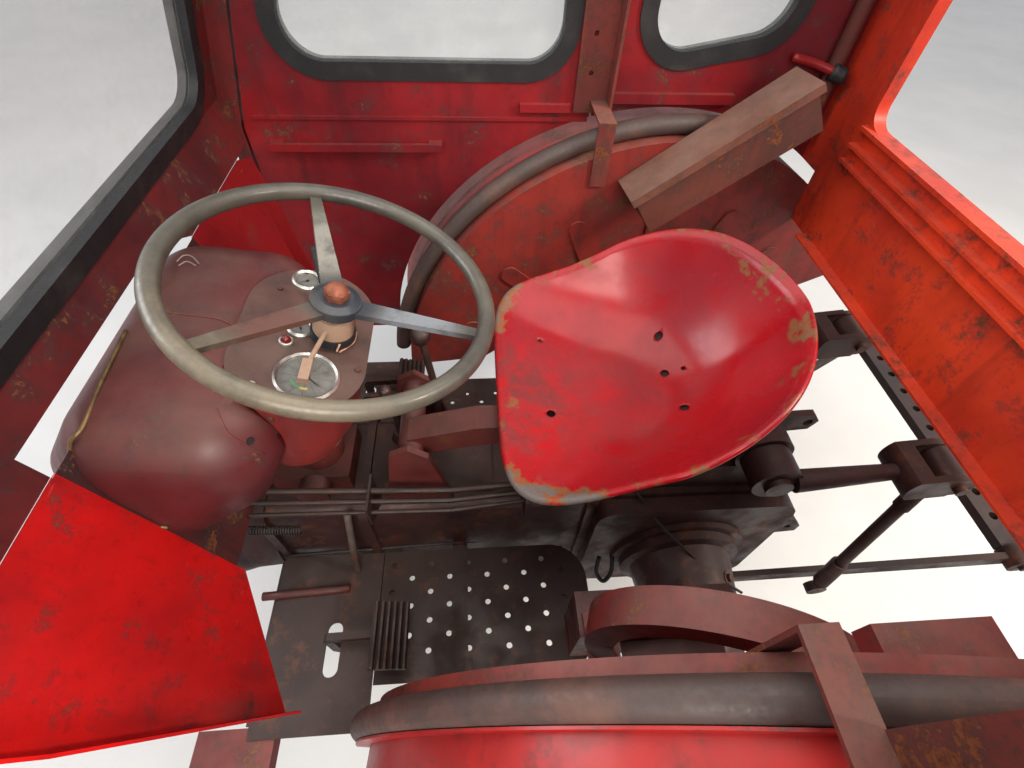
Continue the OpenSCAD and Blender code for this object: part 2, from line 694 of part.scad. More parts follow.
module side_glass(pts) along_y(cab_half + (wall_t - glass_t) / 2, glass_t) pane(pts, glass_r + glass_in - 1);

module quarter_panels() color([0.70, 0.03, 0.04]) both() {
    along_y(cab_half, wall_t) difference() {
        polygon([[door_rear - door_gap, roof_z], [rear_x - wall_t, roof_z], [rear_x - wall_t, 0], [door_rear - door_gap, 0]]);
        translate([arch_cut_x, 0]) circle(arch_cut_r, $fn = 360);
        rounded(quarter_pts, glass_r + seal_w / 2);
    }
    // Sill rail inside
    along_y(cab_half - 14, 14) translate([-1250, belt_z + 2]) square([276, 20]);
}
module quarter_seals() color([0.08, 0.08, 0.08]) both() side_seal(quarter_pts);
module quarter_glass() color([0.75, 0.82, 0.82, 0.35]) both() side_glass(quarter_pts);

pillar_foot = sqrt(pow(arch_r, 2) - pow(axle_x - (door_rear - door_gap - 30), 2)) + 12;
stay_y = plate_y_at(door_rear - door_gap + 10) - 6;
module pillars() color([0.50, 0.14, 0.10]) both() {
    px = door_rear - door_gap;
    difference() {
        translate([0, 0, pillar_foot]) linear_extrude(roof_z - pillar_foot) polygon([
            [px - 30, cab_half], [px - 30, 540], [px - 24, 540], [px - 24, cab_half - 11], [px + pillar_w, cab_half - 11],
            [px + pillar_w, cab_half - door_gap], [px - 2, cab_half - door_gap], [px - 2, cab_half]]);
        for (z = [belt_z + 60, belt_z + 130, belt_z + 420]) along_y(cab_half - 20, 18)
            translate([px + pillar_w / 2 - 6, z]) circle(5);
    }
    // Stay over the tube and down the fender plate
    translate([px - 26, stay_y, pillar_foot + 20]) cube([36, 582 - stay_y, 5]);
    translate([px - 26, stay_y, pillar_foot - 110]) cube([36, 5, 135]);
    // Corner tube
    translate([rear_x + corner_r + 22, cab_half - corner_r - seat_gap, 610]) cylinder(r = corner_r, h = roof_z - 610);
}

rear_arch_z = sqrt(pow(arch_cut_r, 2) - pow(arch_cut_x - rear_x, 2));
rear_low_half = plate_y_at(rear_x) - 8;
module rear_wall() color([0.80, 0.05, 0.03]) {
    along_x(rear_x - wall_t, wall_t) difference() {
        polygon([[-cab_half, roof_z], [-cab_half, rear_arch_z], [-rear_low_half, rear_arch_z],
            [-rear_low_half, rear_low], [rear_low_half, rear_low], [rear_low_half, rear_arch_z],
            [cab_half, rear_arch_z], [cab_half, roof_z]]);
        translate([0, (rear_sill + side_top) / 2]) rrect(2 * rear_open_half, side_top - rear_sill, 40);
    }
    // Channel under the sill and folded lower edge
    translate([rear_x - eps, -rear_open_half, rear_sill - 72]) difference() {
        cube([22, 2 * rear_open_half, 38]);
        translate([8, -1, 6]) cube([20, 2 * rear_open_half + 2, 26]);
    }
    translate([rear_x - eps, -rear_open_half, rear_low]) cube([26, 2 * rear_open_half, 5]);
    translate([rear_x - eps, -rear_open_half, rear_sill - 8]) cube([14, 2 * rear_open_half, 8]);
}

roof_half = cab_half + wall_t + roof_lip;
roof_back = rear_x - wall_t - roof_lip;
roof_l = roof_front + roof_lip - roof_back;
roof_rim = 12;
module roof() color([0.75, 0.04, 0.03]) {
    big = (pow(roof_half, 2) + pow(roof_crown, 2)) / (2 * roof_crown);
    translate([0, 0, roof_z]) difference() {
        along_x(roof_back, roof_l) intersection() {
            translate([0, roof_rim + roof_crown - big]) circle(big, $fn = 720);
            translate([-roof_half, 0]) square([2 * roof_half, roof_rim + roof_crown + 1]);
        }
        translate([0, 0, -22]) along_x(roof_back + roof_lip + wall_t, roof_l - 2 * (roof_lip + wall_t))
            intersection() {
                translate([0, roof_rim + roof_crown - big]) circle(big, $fn = 720);
                translate([-cab_half, -20]) square([2 * cab_half, roof_crown + 40]);
            }
    }
}

box_w = 100;
box_front = [-1008, -(fender_y - seat_gap - box_w), 562];
box_l = 374;
box_h = 88;
box_pitch = 34;
lid_ajar = 5;
lid_t = 14;
module at_toolbox() translate([axle_x, -fender_y, 0]) rotate([0, 0, toe]) translate([-axle_x, fender_y, 0])
    translate(box_front) rotate([0, box_pitch, 0]) children();
module toolbox() color([0.45, 0.14, 0.10]) {
    at_toolbox() difference() {
        translate([-box_l, -box_w, -box_h]) cube([box_l, box_w, box_h]);
        translate([-box_l + 3, -box_w + 3, -box_h + 3]) cube([box_l - 6, box_w - 6, box_h]);
    }
}
module toolbox_lid() color([0.50, 0.30, 0.22]) at_toolbox()
    translate([0, -box_w + 3, 3]) rotate([lid_ajar, 0, 0]) {
        translate([-box_l - 8, 0, 0]) cube([box_l + 16, box_w + 5, 3]);
        translate([-box_l - 8, box_w + 2, -lid_t]) cube([box_l + 16, 3, lid_t + 1]);
        for (x = [-box_l - 8, 5]) translate([x, 16, -lid_t]) cube([3, box_w - 14, lid_t + 1]);
        // Hinge pin on the edge of the box
        translate([-box_l + 20, 0, 0]) rotate([0, 90, 0]) cylinder(r = 3 - seat_gap, h = box_l - 40);
    }

// Front end of the cowl, which is narrower and lower than its middle
nose_r = 55;
nose_half = 165;
nose_top = 478;
nose_low = 215;
module cowl() color([0.36, 0.07, 0.07]) difference() {
    w = cowl_half - cowl_r;
    hull() for (y = [-w, w]) {
        translate([cowl_rear + cowl_r, y, cowl_top - cowl_r - 14]) sphere(cowl_r, $fn = 48);
        translate([cowl_front - 190, y, cowl_top - cowl_r]) sphere(cowl_r, $fn = 48);
        translate([cowl_rear + cowl_r + 20, y, cowl_low + 60]) cylinder(r = 60, h = 10, $fn = 48);
        translate([cowl_front - 150, y, cowl_low + 4]) cylinder(r = cowl_r, h = 10, $fn = 48);
        translate([cowl_front - nose_r, sign(y) * (nose_half - nose_r), nose_top - nose_r]) sphere(nose_r, $fn = 48);
        translate([cowl_front - nose_r, sign(y) * (nose_half - nose_r), nose_low]) cylinder(r = nose_r, h = 10, $fn = 48);
    }
    // Room for the instrument housing and the panel on it
    at_panel() translate([0, 0, -housing_h - 60]) linear_extrude(housing_h + 60)
        stadium(panel_w - 6 + 2 * seat_gap, panel_d - 6 + 2 * seat_gap);
    at_panel() translate([0, 0, -seat_gap]) linear_extrude(80) stadium(panel_w + 2, panel_d + 2);
}

panel_drop = 116;
panel_ahead = 38;
module stadium(w, d) {
    x = (w - d) / 2;
    square([d, 2 * x], center = true);
    for (s = [-x, x]) translate([0, s]) circle(d / 2);
}
module at_panel() at_wheel() translate([panel_ahead, 0, -panel_drop]) children();
// Drum under the panel, drawn in below, grown by a step all round and going deep
module drum(grow, deep) hull() {
    translate([0, 0, -deep]) linear_extrude(1) stadium(panel_w - 76 + grow, panel_d - 56 + grow, $fn = 96);
    translate([0, 0, -100]) linear_extrude(100 + (grow < 0 ? 1 : 0)) stadium(panel_w - 6 + grow, panel_d - 6 + grow, $fn = 96);
}
module instrument_housing() color([0.55, 0.10, 0.08]) at_panel() difference() {
    drum(0, housing_h);
    drum(-8, housing_h + 1);
}
meter_at = [-16, 84];
gauge_at = [[20, -117, gauge_r], [10, -8, 20]];
lamp_at = [24, 24];
module instrument_panel() color([0.30, 0.13, 0.11]) at_panel() difference() {
    linear_extrude(panel_t) stadium(panel_w, panel_d);
    translate([meter_at[0], meter_at[1], -1]) cylinder(r = meter_r - 3, h = panel_t + 2);
    for (g = gauge_at) translate([g[0], g[1], -1]) cylinder(r = g[2] - 3, h = panel_t + 2);
    translate([-panel_ahead, 0, -1]) cylinder(r = column_r + 0.5, h = panel_t + 2);
}
module gauge(r) {
    translate([0, 0, -28]) cylinder(r = r - 4, h = 29);
    translate([0, 0, panel_t]) rotate_extrude() polygon([[r - 6, 0], [r, 0], [r, 4], [r - 3, 7], [r - 6, 4]]);
    translate([0, 0, 0]) cylinder(r = r - 3.2, h = panel_t + 1);
}
module gauges() color([0.75, 0.75, 0.72]) at_panel() {
    translate([meter_at[0], meter_at[1], 0]) gauge(meter_r);
    for (g = gauge_at) translate([g[0], g[1], 0]) gauge(g[2]);
    translate([lamp_at[0], lamp_at[1], panel_t]) cylinder(r = 10, h = 5);
    translate([lamp_at[0], lamp_at[1], panel_t + 7]) sphere(6.5);
}

column_top = 52;
box_drop = (wheel_z - case_top) / cos(tilt);
module steering_column() color([0.22, 0.10, 0.09]) {
    at_wheel() difference() {
        union() {
            translate([0, 0, -box_drop + 60]) cylinder(r = column_r, h = box_drop - 60 - column_top);
            translate([0, 0, -box_drop + 20]) cylinder(r1 = 52, r2 = 34, h = 90);
        }
        translate([0, 0, -column_top - 140]) cylinder(r = spindle_r + fit, h = 200);
    }
    translate([wheel_x + box_drop * sin(tilt) - 78, -62, case_top]) cube([150, 124, 52]);
    translate([wheel_x + box_drop * sin(tilt) - 10, 60, case_top + 30]) rotate([-90, 0, 0]) cylinder(r = 30, h = 34);
}
module indicator_switch() color([0.85, 0.75, 0.66]) at_wheel() {
    difference() {
        translate([0, 0, -column_top - 36]) cylinder(r = column_r + 9, h = 34);
        translate([0, 0, -column_top - 40]) cylinder(r = column_r + 0.3, h = 44);
    }
    // Stalk and its paddle
    bar([8, column_r + 6, -column_top - 20], [20, 98, -column_top - 14], 3.5);
    translate([14, 90, -column_top - 19]) cube([13, 36, 9]);
}
module throttle_lever() color([0.08, 0.08, 0.09]) at_wheel() {
    bent_bar([[6, -column_r - 8, -column_top - 48], [20, -62, -column_top - 30], [30, -86, -column_top - 12]], 4.5);
    bar([26, -78, -column_top - 18], [48, -122, -column_top + 8], 9);
    difference() {
        translate([0, 0, -column_top - 50]) cylinder(r = column_r + 12, h = 14);
        translate([0, 0, -column_top - 60]) cylinder(r = column_r + 0.3, h = 30);
    }
}

spoke_deg = [48, 168, 288];
module steering_wheel() color([0.36, 0.34, 0.28]) at_wheel() difference() {
    union() {
        rotate_extrude() translate([wheel_r - rim_r, 0]) circle(rim_r);
        for (a = spoke_deg) rotate([0, 0, a]) {
            rise = atan2(hub_drop - 6, wheel_r - 2 * rim_r - 24);
            translate([20, 0, -hub_drop]) rotate([0, -rise, 0]) translate([0, 0, -4])
                linear_extrude(9) polygon([[0, -16], [wheel_r - rim_r - 20, -8], [wheel_r - rim_r - 20, 8], [0, 16]]);
        }
        translate([0, 0, -hub_drop - 14]) cylinder(r1 = 27, r2 = 36, h = 10);
        translate([0, 0, -hub_drop - 4.1]) cylinder(r = 36, h = 14);
        translate([0, 0, -hub_drop + 9.8]) cylinder(r1 = 34, r2 = 24, h = 5);
    }
    translate([0, 0, -hub_drop - 20]) cylinder(r = spindle_r, h = 60);
}
module steering_shaft() color([0.45, 0.22, 0.14]) at_wheel() {
    translate([0, 0, -column_top - 130]) cylinder(r = spindle_r, h = column_top + 130 - hub_drop + 24);
    translate([0, 0, -hub_drop + 15]) cylinder(r = 18, h = 12, $fn = 6);
    translate([0, 0, -hub_drop + 20]) intersection() {
        sphere(17);
        cylinder(r = 17, h = 17);
    }
}

lever_knob = [-575, -80, 485];
lever2_knob = [-505, -20, 404];
module gear_levers() color([0.10, 0.09, 0.09]) {
    foot = [lever_x, lever_y, case_top + cover_t + 30 + seat_gap];
    bent_bar([foot, foot + [0, 0, 50], [lever_x - 6, lever_y - 6, 330], lever_knob], 7);
    translate(lever_knob) sphere(19);
    foot2 = [lever2[0], lever2[1], case_top + cover_t + 22 + seat_gap];
    bent_bar([foot2, foot2 + [0, 0, 60], lever2_knob], 6);
    translate(lever2_knob) sphere(12);
}

seat_cx = seat_front - seat_l * 0.489;
seat_y = -5;
// The old seat leans to the driver's left by this slope
seat_lean = 0.08;
rim_dip = 21;
front_len = seat_front - seat_cx;
rear_len = seat_l - front_len;
function outline_r(a) = let(c = cos(a), s = abs(sin(a)), n = c > 0 ? 5.7 : 1.65, len = c > 0 ? front_len : rear_len)
    pow(pow(abs(c) / len, n) + pow(s / seat_half, n), -1 / n)
    * (1 + 0.011 * (cos(2 * a) - 1) + 0.019 * (cos(3 * a) - c) - 0.012 * (cos(4 * a) - 1));
function rim_z(a) = seat_z + seat_lip + (seat_back - seat_lip + rim_dip) * (1 - cos(a)) / 2
    + 5 * (1 - cos(2 * a)) - rim_dip * (1 - cos(3 * a)) / 2 - seat_lean * outline_r(a) * sin(a);
function pan_z(t, a) = seat_z + (rim_z(a) - seat_z) * pow(t, 3.2);
seat_rings = [0, 0.22, 0.42, 0.6, 0.74, 0.85, 0.93, 1];
seat_n = 72;
module seat_pan() color([0.85, 0.02, 0.03]) difference() {
    top = [for (k = [1:len(seat_rings) - 1], i = [0:seat_n - 1]) let(a = i * 360 / seat_n, t = seat_rings[k], r = outline_r(a) * t)
        [seat_cx + r * cos(a), seat_y + r * sin(a), pan_z(t, a)]];
    rings = len(seat_rings) - 1;
    count = rings * seat_n;
    pts = concat(top, [for (p = top) [p[0], p[1], p[2] - seat_t]], [[seat_cx, seat_y, seat_z], [seat_cx, seat_y, seat_z - seat_t]]);
    faces = concat(
        [for (k = [0:rings - 2], i = [0:seat_n - 1]) let(j = (i + 1) % seat_n)
            [k * seat_n + i, k * seat_n + j, (k + 1) * seat_n + j, (k + 1) * seat_n + i]],
        [for (k = [0:rings - 2], i = [0:seat_n - 1]) let(j = (i + 1) % seat_n)
            [count + k * seat_n + j, count + k * seat_n + i, count + (k + 1) * seat_n + i, count + (k + 1) * seat_n + j]],
        [for (i = [0:seat_n - 1]) [2 * count, (i + 1) % seat_n, i]],
        [for (i = [0:seat_n - 1]) [2 * count + 1, count + i, count + (i + 1) % seat_n]],
        [for (i = [0:seat_n - 1]) let(j = (i + 1) % seat_n, o = (rings - 1) * seat_n) [o + i, o + j, count + o + j, count + o + i]]);
    polyhedron(pts, faces);
}

pivot_at = [-550, 0, 340];
module seat_arm() color([0.26, 0.10, 0.09]) {
    // Pivot barrel and its hooked bracket on the gearbox
    translate([pivot_at[0], -88, pivot_at[2]]) rotate([-90, 0, 0]) cylinder(r = 23, h = 176);
    for (y = [-94, 82]) along_y(y, 12) polygon([
        [pivot_at[0] - 70, case_top], [pivot_at[0] + 60, case_top], [pivot_at[0] + 34, pivot_at[2] + 20],
        [pivot_at[0], pivot_at[2] + 38], [pivot_at[0] - 34, pivot_at[2] + 10]]);
    // Channel arm back to the seat
    along_y(14, 50) polygon([
        [pivot_at[0] - 10, pivot_at[2] - 20], [pivot_at[0] + 4, pivot_at[2] + 26], [pivot_at[0] - 120, seat_z - seat_t - 14],
        [seat_cx - 60, seat_z - seat_t - 4], [seat_cx - 60, seat_z - seat_t - 14], [seat_cx + 40, seat_z - 60],
        [pivot_at[0] - 140, seat_z - 70]]);
    translate([seat_cx, 0, seat_z - seat_t - 16]) cylinder(r = 60, h = 16 - seat_gap);
    // Coil spring post under the arm
    translate([seat_cx + 75, 39, centre_top]) cylinder(r = 12, h = seat_z - 58 - centre_top);
}

pipe_y = [118, 134, 150];
module pipe_runs(grow) for (i = [0:2]) {
    a = [-262, pipe_y[i], 300 - i * 14];
    b = [-620, pipe_y[i], 274 - i * 9];
    c = [-860, pipe_y[i] - 26, 250];
    bar(a, b, 6 - i + grow);
    bar(b, c, 6 - i + grow);
    if (grow == 0) translate(b) sphere((6 - i) * 1.1);
}
module pipes() color([0.08, 0.07, 0.07]) {
    pipe_runs(0);
    // Clips standing on the gearbox, with holes for the pipes
    difference() {
        for (x = [-475, -760]) along_x(x, 4) polygon([[70, case_top + seat_gap], [96, case_top + seat_gap],
            [164, 240], [164, 298], [90, 298], [90, 236], [70, 204]]);
        pipe_runs(seat_gap);
    }
}

// Ribbed pedal pad, w wide, with its front edge at the origin
module pedal_pad(w) rotate([0, -14, 0]) along_y(-w / 2, w) polygon(concat([[-36, 0], [36, 0]],
    [for (i = [0:5], p = [[36, 10], [32, 15], [28, 15], [24, 10]]) p - [i * 12, 0]]));
// Flat arm from the pad down through the footplate to the shaft
module pedal_arm(y) along_y(y - 7, 14) polygon([
    [-490, plate_z + 57], [-366, plate_z + 49], [-358, plate_z + 38], [-358, -46], [-390, -90],
    [-410, -76], [-377, -38], [-377, plate_z + 30], [-490, plate_z + 40]]);
module clutch_pedal() color([0.20, 0.10, 0.08]) {
    translate([-488, 310, plate_z + 52]) pedal_pad(120);
    pedal_arm(305);
    bar([-400, case_w / 2 + seat_gap, -80], [-400, 318, -80], 14);
}
module brake_pedals() color([0.20, 0.10, 0.08]) {
    for (y = [-300, -375]) {
        translate([-488, y, plate_z + 52]) pedal_pad(64);
        pedal_arm(y == -300 ? -296 : -350);
    }
    bar([-400, -case_w / 2 - seat_gap, -80], [-400, -363, -80], 12);
}

hinge_x = door_front + 3;
hinge_y = cab_half + wall_t + 6;
module door_frame() color([0.72, 0.02, 0.04]) {
    top = roof_z - door_gap;
    difference() {
        along_y(cab_half, wall_t) difference() {
            polygon([[door_edge(top), top], [door_rear, top], [door_rear, door_low], [door_front, door_low], [door_front, kink_z]]);
            translate([arch_cut_x, 0]) circle(arch_cut_r, $fn = 360);
            rounded(door_pts, glass_r + seal_w / 2);
        }
    }
    // Pressed bead and grab rail on the inner face
    along_y(cab_half - 5, 5 + eps) translate([door_rear + 4, 641]) square([door_front - door_rear - 30, 7]);
    along_y(cab_half - 26, 26 + eps) for (x = [-610, -262]) translate([x, 582]) square([30, 14]);
    along_y(cab_half - 26, 10) rounded([[-600, 586], [-242, 586], [-242, 592], [-600, 592]], 5);
    // Latch bar
    along_y(cab_half - 12, 12 + eps) translate([-892, 662]) square([110, 16]);
    // Hinge knuckles
    for (z = [150, kink_z - 60]) {
        translate([hinge_x, hinge_y, z]) cylinder(r = 6, h = 60);
        translate([hinge_x - 46, cab_half + wall_t - eps, z]) cube([46, 6, 60]);
    }
}
// The left door stands open at rest
module opened() translate([hinge_x, hinge_y, 0]) rotate([0, 0, -door_open]) translate([-hinge_x, -hinge_y, 0]) children();
module door_l() opened() door_frame();
module door_r() mirror([0, 1, 0]) door_frame();
module door_l_seal() color([0.08, 0.08, 0.08]) opened() side_seal(door_pts);
module door_r_seal() color([0.08, 0.08, 0.08]) mirror([0, 1, 0]) side_seal(door_pts);
module door_l_glass() color([0.75, 0.82, 0.82, 0.35]) opened() side_glass(door_pts);
module door_r_glass() color([0.75, 0.82, 0.82, 0.35]) mirror([0, 1, 0]) side_glass(door_pts);

clutch_housing();
gearbox_case();
rear_axle_case();
axle_trumpets();
lift_cover();
wheel_hub_l();
wheel_hub_r();
pto_shaft();
fender_brackets();
fenders();
arch_frames();
arch_seals();
fender_strap();
footplates();
footplate_brackets();
leg_shields();
front_wall();
windscreen_seal();
windscreen();
quarter_panels();
quarter_seals();
quarter_glass();
pillars();
rear_wall();
roof();
toolbox();
toolbox_lid();
cowl();
instrument_housing();
instrument_panel();
gauges();
steering_column();
indicator_switch();
throttle_lever();
steering_wheel();
steering_shaft();
gear_levers();
seat_arm();
seat_pan();
pipes();
clutch_pedal();
brake_pedals();
lift_arms();
lift_rods();
lower_links();
drawbar();
top_link_bracket();
door_l();
door_r();
door_l_seal();
door_r_seal();
door_l_glass();
door_r_glass();
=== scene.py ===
"""Looks of the tractor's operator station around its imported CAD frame.

Metres, X forward, Y to the tractor's left, Z up; the origin is the centre of the engine flange face.
"""

import math

import bmesh
import bpy
from mathutils import Matrix, Vector
from mathutils.bvhtree import BVHTree


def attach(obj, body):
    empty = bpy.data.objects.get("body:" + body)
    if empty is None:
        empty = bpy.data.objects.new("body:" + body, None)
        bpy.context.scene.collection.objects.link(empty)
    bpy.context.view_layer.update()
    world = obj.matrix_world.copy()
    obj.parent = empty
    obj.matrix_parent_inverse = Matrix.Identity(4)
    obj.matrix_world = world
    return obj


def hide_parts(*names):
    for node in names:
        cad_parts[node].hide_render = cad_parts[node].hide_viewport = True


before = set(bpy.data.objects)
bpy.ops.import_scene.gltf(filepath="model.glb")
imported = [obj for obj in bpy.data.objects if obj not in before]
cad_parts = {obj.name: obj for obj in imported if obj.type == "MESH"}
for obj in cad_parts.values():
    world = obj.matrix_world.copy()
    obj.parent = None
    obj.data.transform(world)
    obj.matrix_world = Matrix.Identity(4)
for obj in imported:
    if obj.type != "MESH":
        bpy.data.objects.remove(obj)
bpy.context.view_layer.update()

# Sizes shared with the part's source, in metres
WHEEL_C = Vector((-0.486, 0.0, 0.670))
TILT = math.radians(17)
PANEL_AHEAD, PANEL_DROP, PANEL_T = 0.038, 0.116, 0.004
SEAT_FRONT, SEAT_L, SEAT_HALF, SEAT_Z = -0.715, 0.477, 0.244, 0.414
SEAT_LIP, SEAT_BACK, SEAT_Y, SEAT_LEAN, RIM_DIP = 0.017, 0.208, -0.005, 0.08, 0.021
GROUND_Z = -0.520

# Camera at the photograph's view, which also places small fittings on the surfaces that it sees
CAMERA_AT = Vector((-0.67726, 0.55497, 1.12124))
CAMERA_RIGHT = Vector((-0.99737499, 0.06382886, 0.03419067))
CAMERA_UP = Vector((-0.02787593, -0.77425802, 0.63225584))
CAMERA_AHEAD = Vector((-0.06682857, -0.62964307, -0.77400487))
FOCAL_PX, IMAGE_W, IMAGE_H = 495.0, 1024.0, 768.0
WHEEL = Matrix.Translation(WHEEL_C) @ Matrix.Rotation(-TILT, 4, "Y")
PANEL = WHEEL @ Matrix.Translation((PANEL_AHEAD, 0, -PANEL_DROP))


def circle(radius, count, z=0.0):
    """Points round a circle in the local XY plane."""
    step = 2 * math.pi / count
    return [Vector((radius * math.cos(step * i), radius * math.sin(step * i), z)) for i in range(count)]


def dimmer(colour, factor, lift=0.0):
    """Colour made darker by a factor, with a little grey added."""
    return tuple(factor * c + lift for c in colour)


# Shader helpers

def socket_name(key):
    return {"specular_ior_level": "Specular IOR Level"}.get(key, key.replace("_", " ").title())


# Colour sockets of Blender's Mix node, whose names repeat for each data type
MIX_A, MIX_B, MIX_RESULT = 6, 7, 2


class Shader:
    """A node tree with short calls for the nodes that the materials here need."""

    def __init__(self, name):
        self.mat = bpy.data.materials.new(name)
        self.mat.use_nodes = True
        self.tree = self.mat.node_tree
        self.bsdf = self.tree.nodes["Principled BSDF"]
        self.coord = self.node("ShaderNodeTexCoord").outputs["Object"]

    def node(self, kind, **props):
        n = self.tree.nodes.new(kind)
        for key, value in props.items():
            setattr(n, key, value)
        return n

    def put(self, socket, value):
        if isinstance(value, bpy.types.NodeSocket):
            self.tree.links.new(value, socket)
        else:
            wants_alpha = hasattr(socket.default_value, "__len__") and len(socket.default_value) == 4
            if wants_alpha and len(value) == 3:
                value = (*value, 1.0)
            socket.default_value = value

    def noise(self, scale, detail=6.0, rough=0.6, stretch=None, turn=(0, 0, 0)):
        n = self.node("ShaderNodeTexNoise")
        where = self.coord
        if stretch:
            m = self.node("ShaderNodeMapping")
            self.put(m.inputs["Vector"], where)
            m.inputs["Scale"].default_value = stretch
            m.inputs["Rotation"].default_value = turn
            where = m.outputs["Vector"]
        self.put(n.inputs["Vector"], where)
        n.inputs["Scale"].default_value = scale
        n.inputs["Detail"].default_value = detail
        n.inputs["Roughness"].default_value = rough
        return n.outputs["Fac"]

    def ramp(self, fac, low, high, a=0.0, b=1.0):
        n = self.node("ShaderNodeMapRange", interpolation_type="SMOOTHSTEP")
        for key, value in zip(("Value", "From Min", "From Max", "To Min", "To Max"), (fac, low, high, a, b)):
            self.put(n.inputs[key], value)
        return n.outputs["Result"]

    def mix(self, fac, a, b):
        n = self.node("ShaderNodeMix", data_type="RGBA")
        self.put(n.inputs["Factor"], fac)
        self.put(n.inputs[MIX_A], a)
        self.put(n.inputs[MIX_B], b)
        return n.outputs[MIX_RESULT]

    def math(self, op, a, b):
        n = self.node("ShaderNodeMath", operation=op)
        self.put(n.inputs[0], a)
        self.put(n.inputs[1], b)
        return n.outputs[0]

    def axis(self, index):
        n = self.node("ShaderNodeSeparateXYZ")
        self.put(n.inputs[0], self.coord)
        return n.outputs[index]

    def up(self):
        n = self.node("ShaderNodeSeparateXYZ")
        self.put(n.inputs[0], self.node("ShaderNodeNewGeometry").outputs["Normal"])
        return n.outputs[2]

    def near(self, centre, radius):
        """1 at a point, falling to 0 at the given distance from it."""
        n = self.node("ShaderNodeVectorMath", operation="DISTANCE")
        self.put(n.inputs[0], self.coord)
        n.inputs[1].default_value = centre
        return self.ramp(n.outputs["Value"], radius * 0.35, radius, 1.0, 0.0)

    def finish(self, colour, rough, height=None, strength=0.3, distance=0.001, **sockets):
        self.put(self.bsdf.inputs["Base Color"], colour)
        self.put(self.bsdf.inputs["Roughness"], rough)
        for key, value in sockets.items():
            self.put(self.bsdf.inputs[socket_name(key)], value)
        if height is not None:
            n = self.node("ShaderNodeBump")
            n.inputs["Strength"].default_value = strength
            n.inputs["Distance"].default_value = distance
            self.put(n.inputs["Height"], height)
            self.put(self.bsdf.inputs["Normal"], n.outputs["Normal"])
        return self.mat


RUST_DARK, RUST_LIGHT = (0.060, 0.018, 0.009), (0.19, 0.058, 0.022)
DUST = (0.33, 0.22, 0.17)


def painted(name, paint, shade, rust=0.3, dust=0.2, gloss=0.35, scratch=0.0, coat=0.0, far_side_shade=None):
    """Old paint: two tones, rust where the noise is high, dust on what faces up, fine scratches.

    The optional last argument is a darker copy of the paint for the tractor's right side: painted shade.
    """
    s = Shader(name)
    large = s.noise(3.2, 5)
    patch = s.noise(17, 10, 0.68)
    fine = s.noise(170, 5, 0.7)
    colour = s.mix(s.ramp(large, 0.38, 0.66), paint, shade)
    # Painted shade: the tractor's right side takes the darker copy of the paint
    if far_side_shade:
        colour = s.mix(s.ramp(s.axis(1), -0.05, 0.05, 1.0, 0.0), colour, far_side_shade)
    grime = s.ramp(s.noise(48, 8, 0.75), 0.52, 0.75, 0.0, 0.55)
    colour = s.mix(grime, colour, dimmer(shade, 0.45))
    if scratch:
        lines = s.noise(9, 3, 0.5, stretch=(60, 3, 3), turn=(0.5, 0.9, 0.7))
        colour = s.mix(s.ramp(lines, 0.70, 0.76, 0.0, scratch), colour, dimmer(paint, 0.5, 0.12))
    mask = s.math("ADD", patch, s.math("MULTIPLY", s.math("SUBTRACT", fine, 0.5), 0.35))
    edge = 0.70 - 0.2 * rust
    rusty = s.ramp(mask, edge, edge + 0.05)
    rust_colour = s.mix(s.ramp(fine, 0.3, 0.7), RUST_DARK, RUST_LIGHT)
    # Brown halo round the rust, rain streaks down the sheet and small dark chips
    colour = s.mix(s.ramp(mask, edge - 0.09, edge, 0.0, 0.55), colour, dimmer(shade, 0.35, 0.02))
    streak = s.noise(8, 6, 0.65, stretch=(2.2, 2.2, 0.22))
    colour = s.mix(s.ramp(streak, 0.50, 0.72, 0.0, 0.5), colour, dimmer(shade, 0.35, 0.006))
    chips = s.ramp(s.noise(85, 5, 0.8), 0.65, 0.68, 0.0, 0.75)
    colour = s.mix(chips, colour, RUST_DARK)
    colour = s.mix(rusty, colour, rust_colour)
    blown = s.ramp(s.noise(7, 8, 0.7), 0.3, 0.7, 0.25, 1.0)
    settled = s.math("MULTIPLY", s.ramp(s.up(), 0.2, 1.0), blown)
    colour = s.mix(s.math("MULTIPLY", settled, dust), colour, DUST)
    rough = s.math("ADD", s.ramp(patch, 0.3, 0.7, gloss, gloss + 0.16), s.math("MULTIPLY", rusty, 0.35))
    height = s.math("SUBTRACT", s.math("MULTIPLY", fine, 0.25), s.math("MULTIPLY", rusty, 0.6))
    return s.finish(colour, rough, height, 0.35, 0.0006, metallic=0.0, coat_weight=coat, coat_roughness=0.2,
                    specular_ior_level=0.28)


def casting(name, base, worn, rust=0.5, oil=0.4, grey=0.0):
    """Rough cast iron with remains of paint, rust and oil."""
    s = Shader(name)
    large = s.noise(6, 8, 0.65)
    fine = s.noise(120, 8, 0.75)
    colour = s.mix(s.ramp(large, 0.35, 0.65), base, worn)
    colour = s.mix(s.ramp(s.noise(22, 9, 0.7), 0.62 - 0.2 * rust, 0.72 - 0.1 * rust, 0, 0.8), colour,
                   s.mix(fine, RUST_DARK, RUST_LIGHT))
    colour = s.mix(s.ramp(s.noise(11, 6, 0.6), 0.45, 0.7, 0, oil), colour, (0.008, 0.006, 0.006))
    colour = s.mix(s.math("MULTIPLY", s.ramp(s.up(), 0.3, 1.0), 0.12 + grey), colour, (0.20, 0.16, 0.14))
    rough = s.ramp(s.noise(14, 6, 0.6), 0.35, 0.7, 0.34, 0.72)
    return s.finish(colour, rough, fine, 0.5, 0.0012, metallic=0.15, specular_ior_level=0.3)


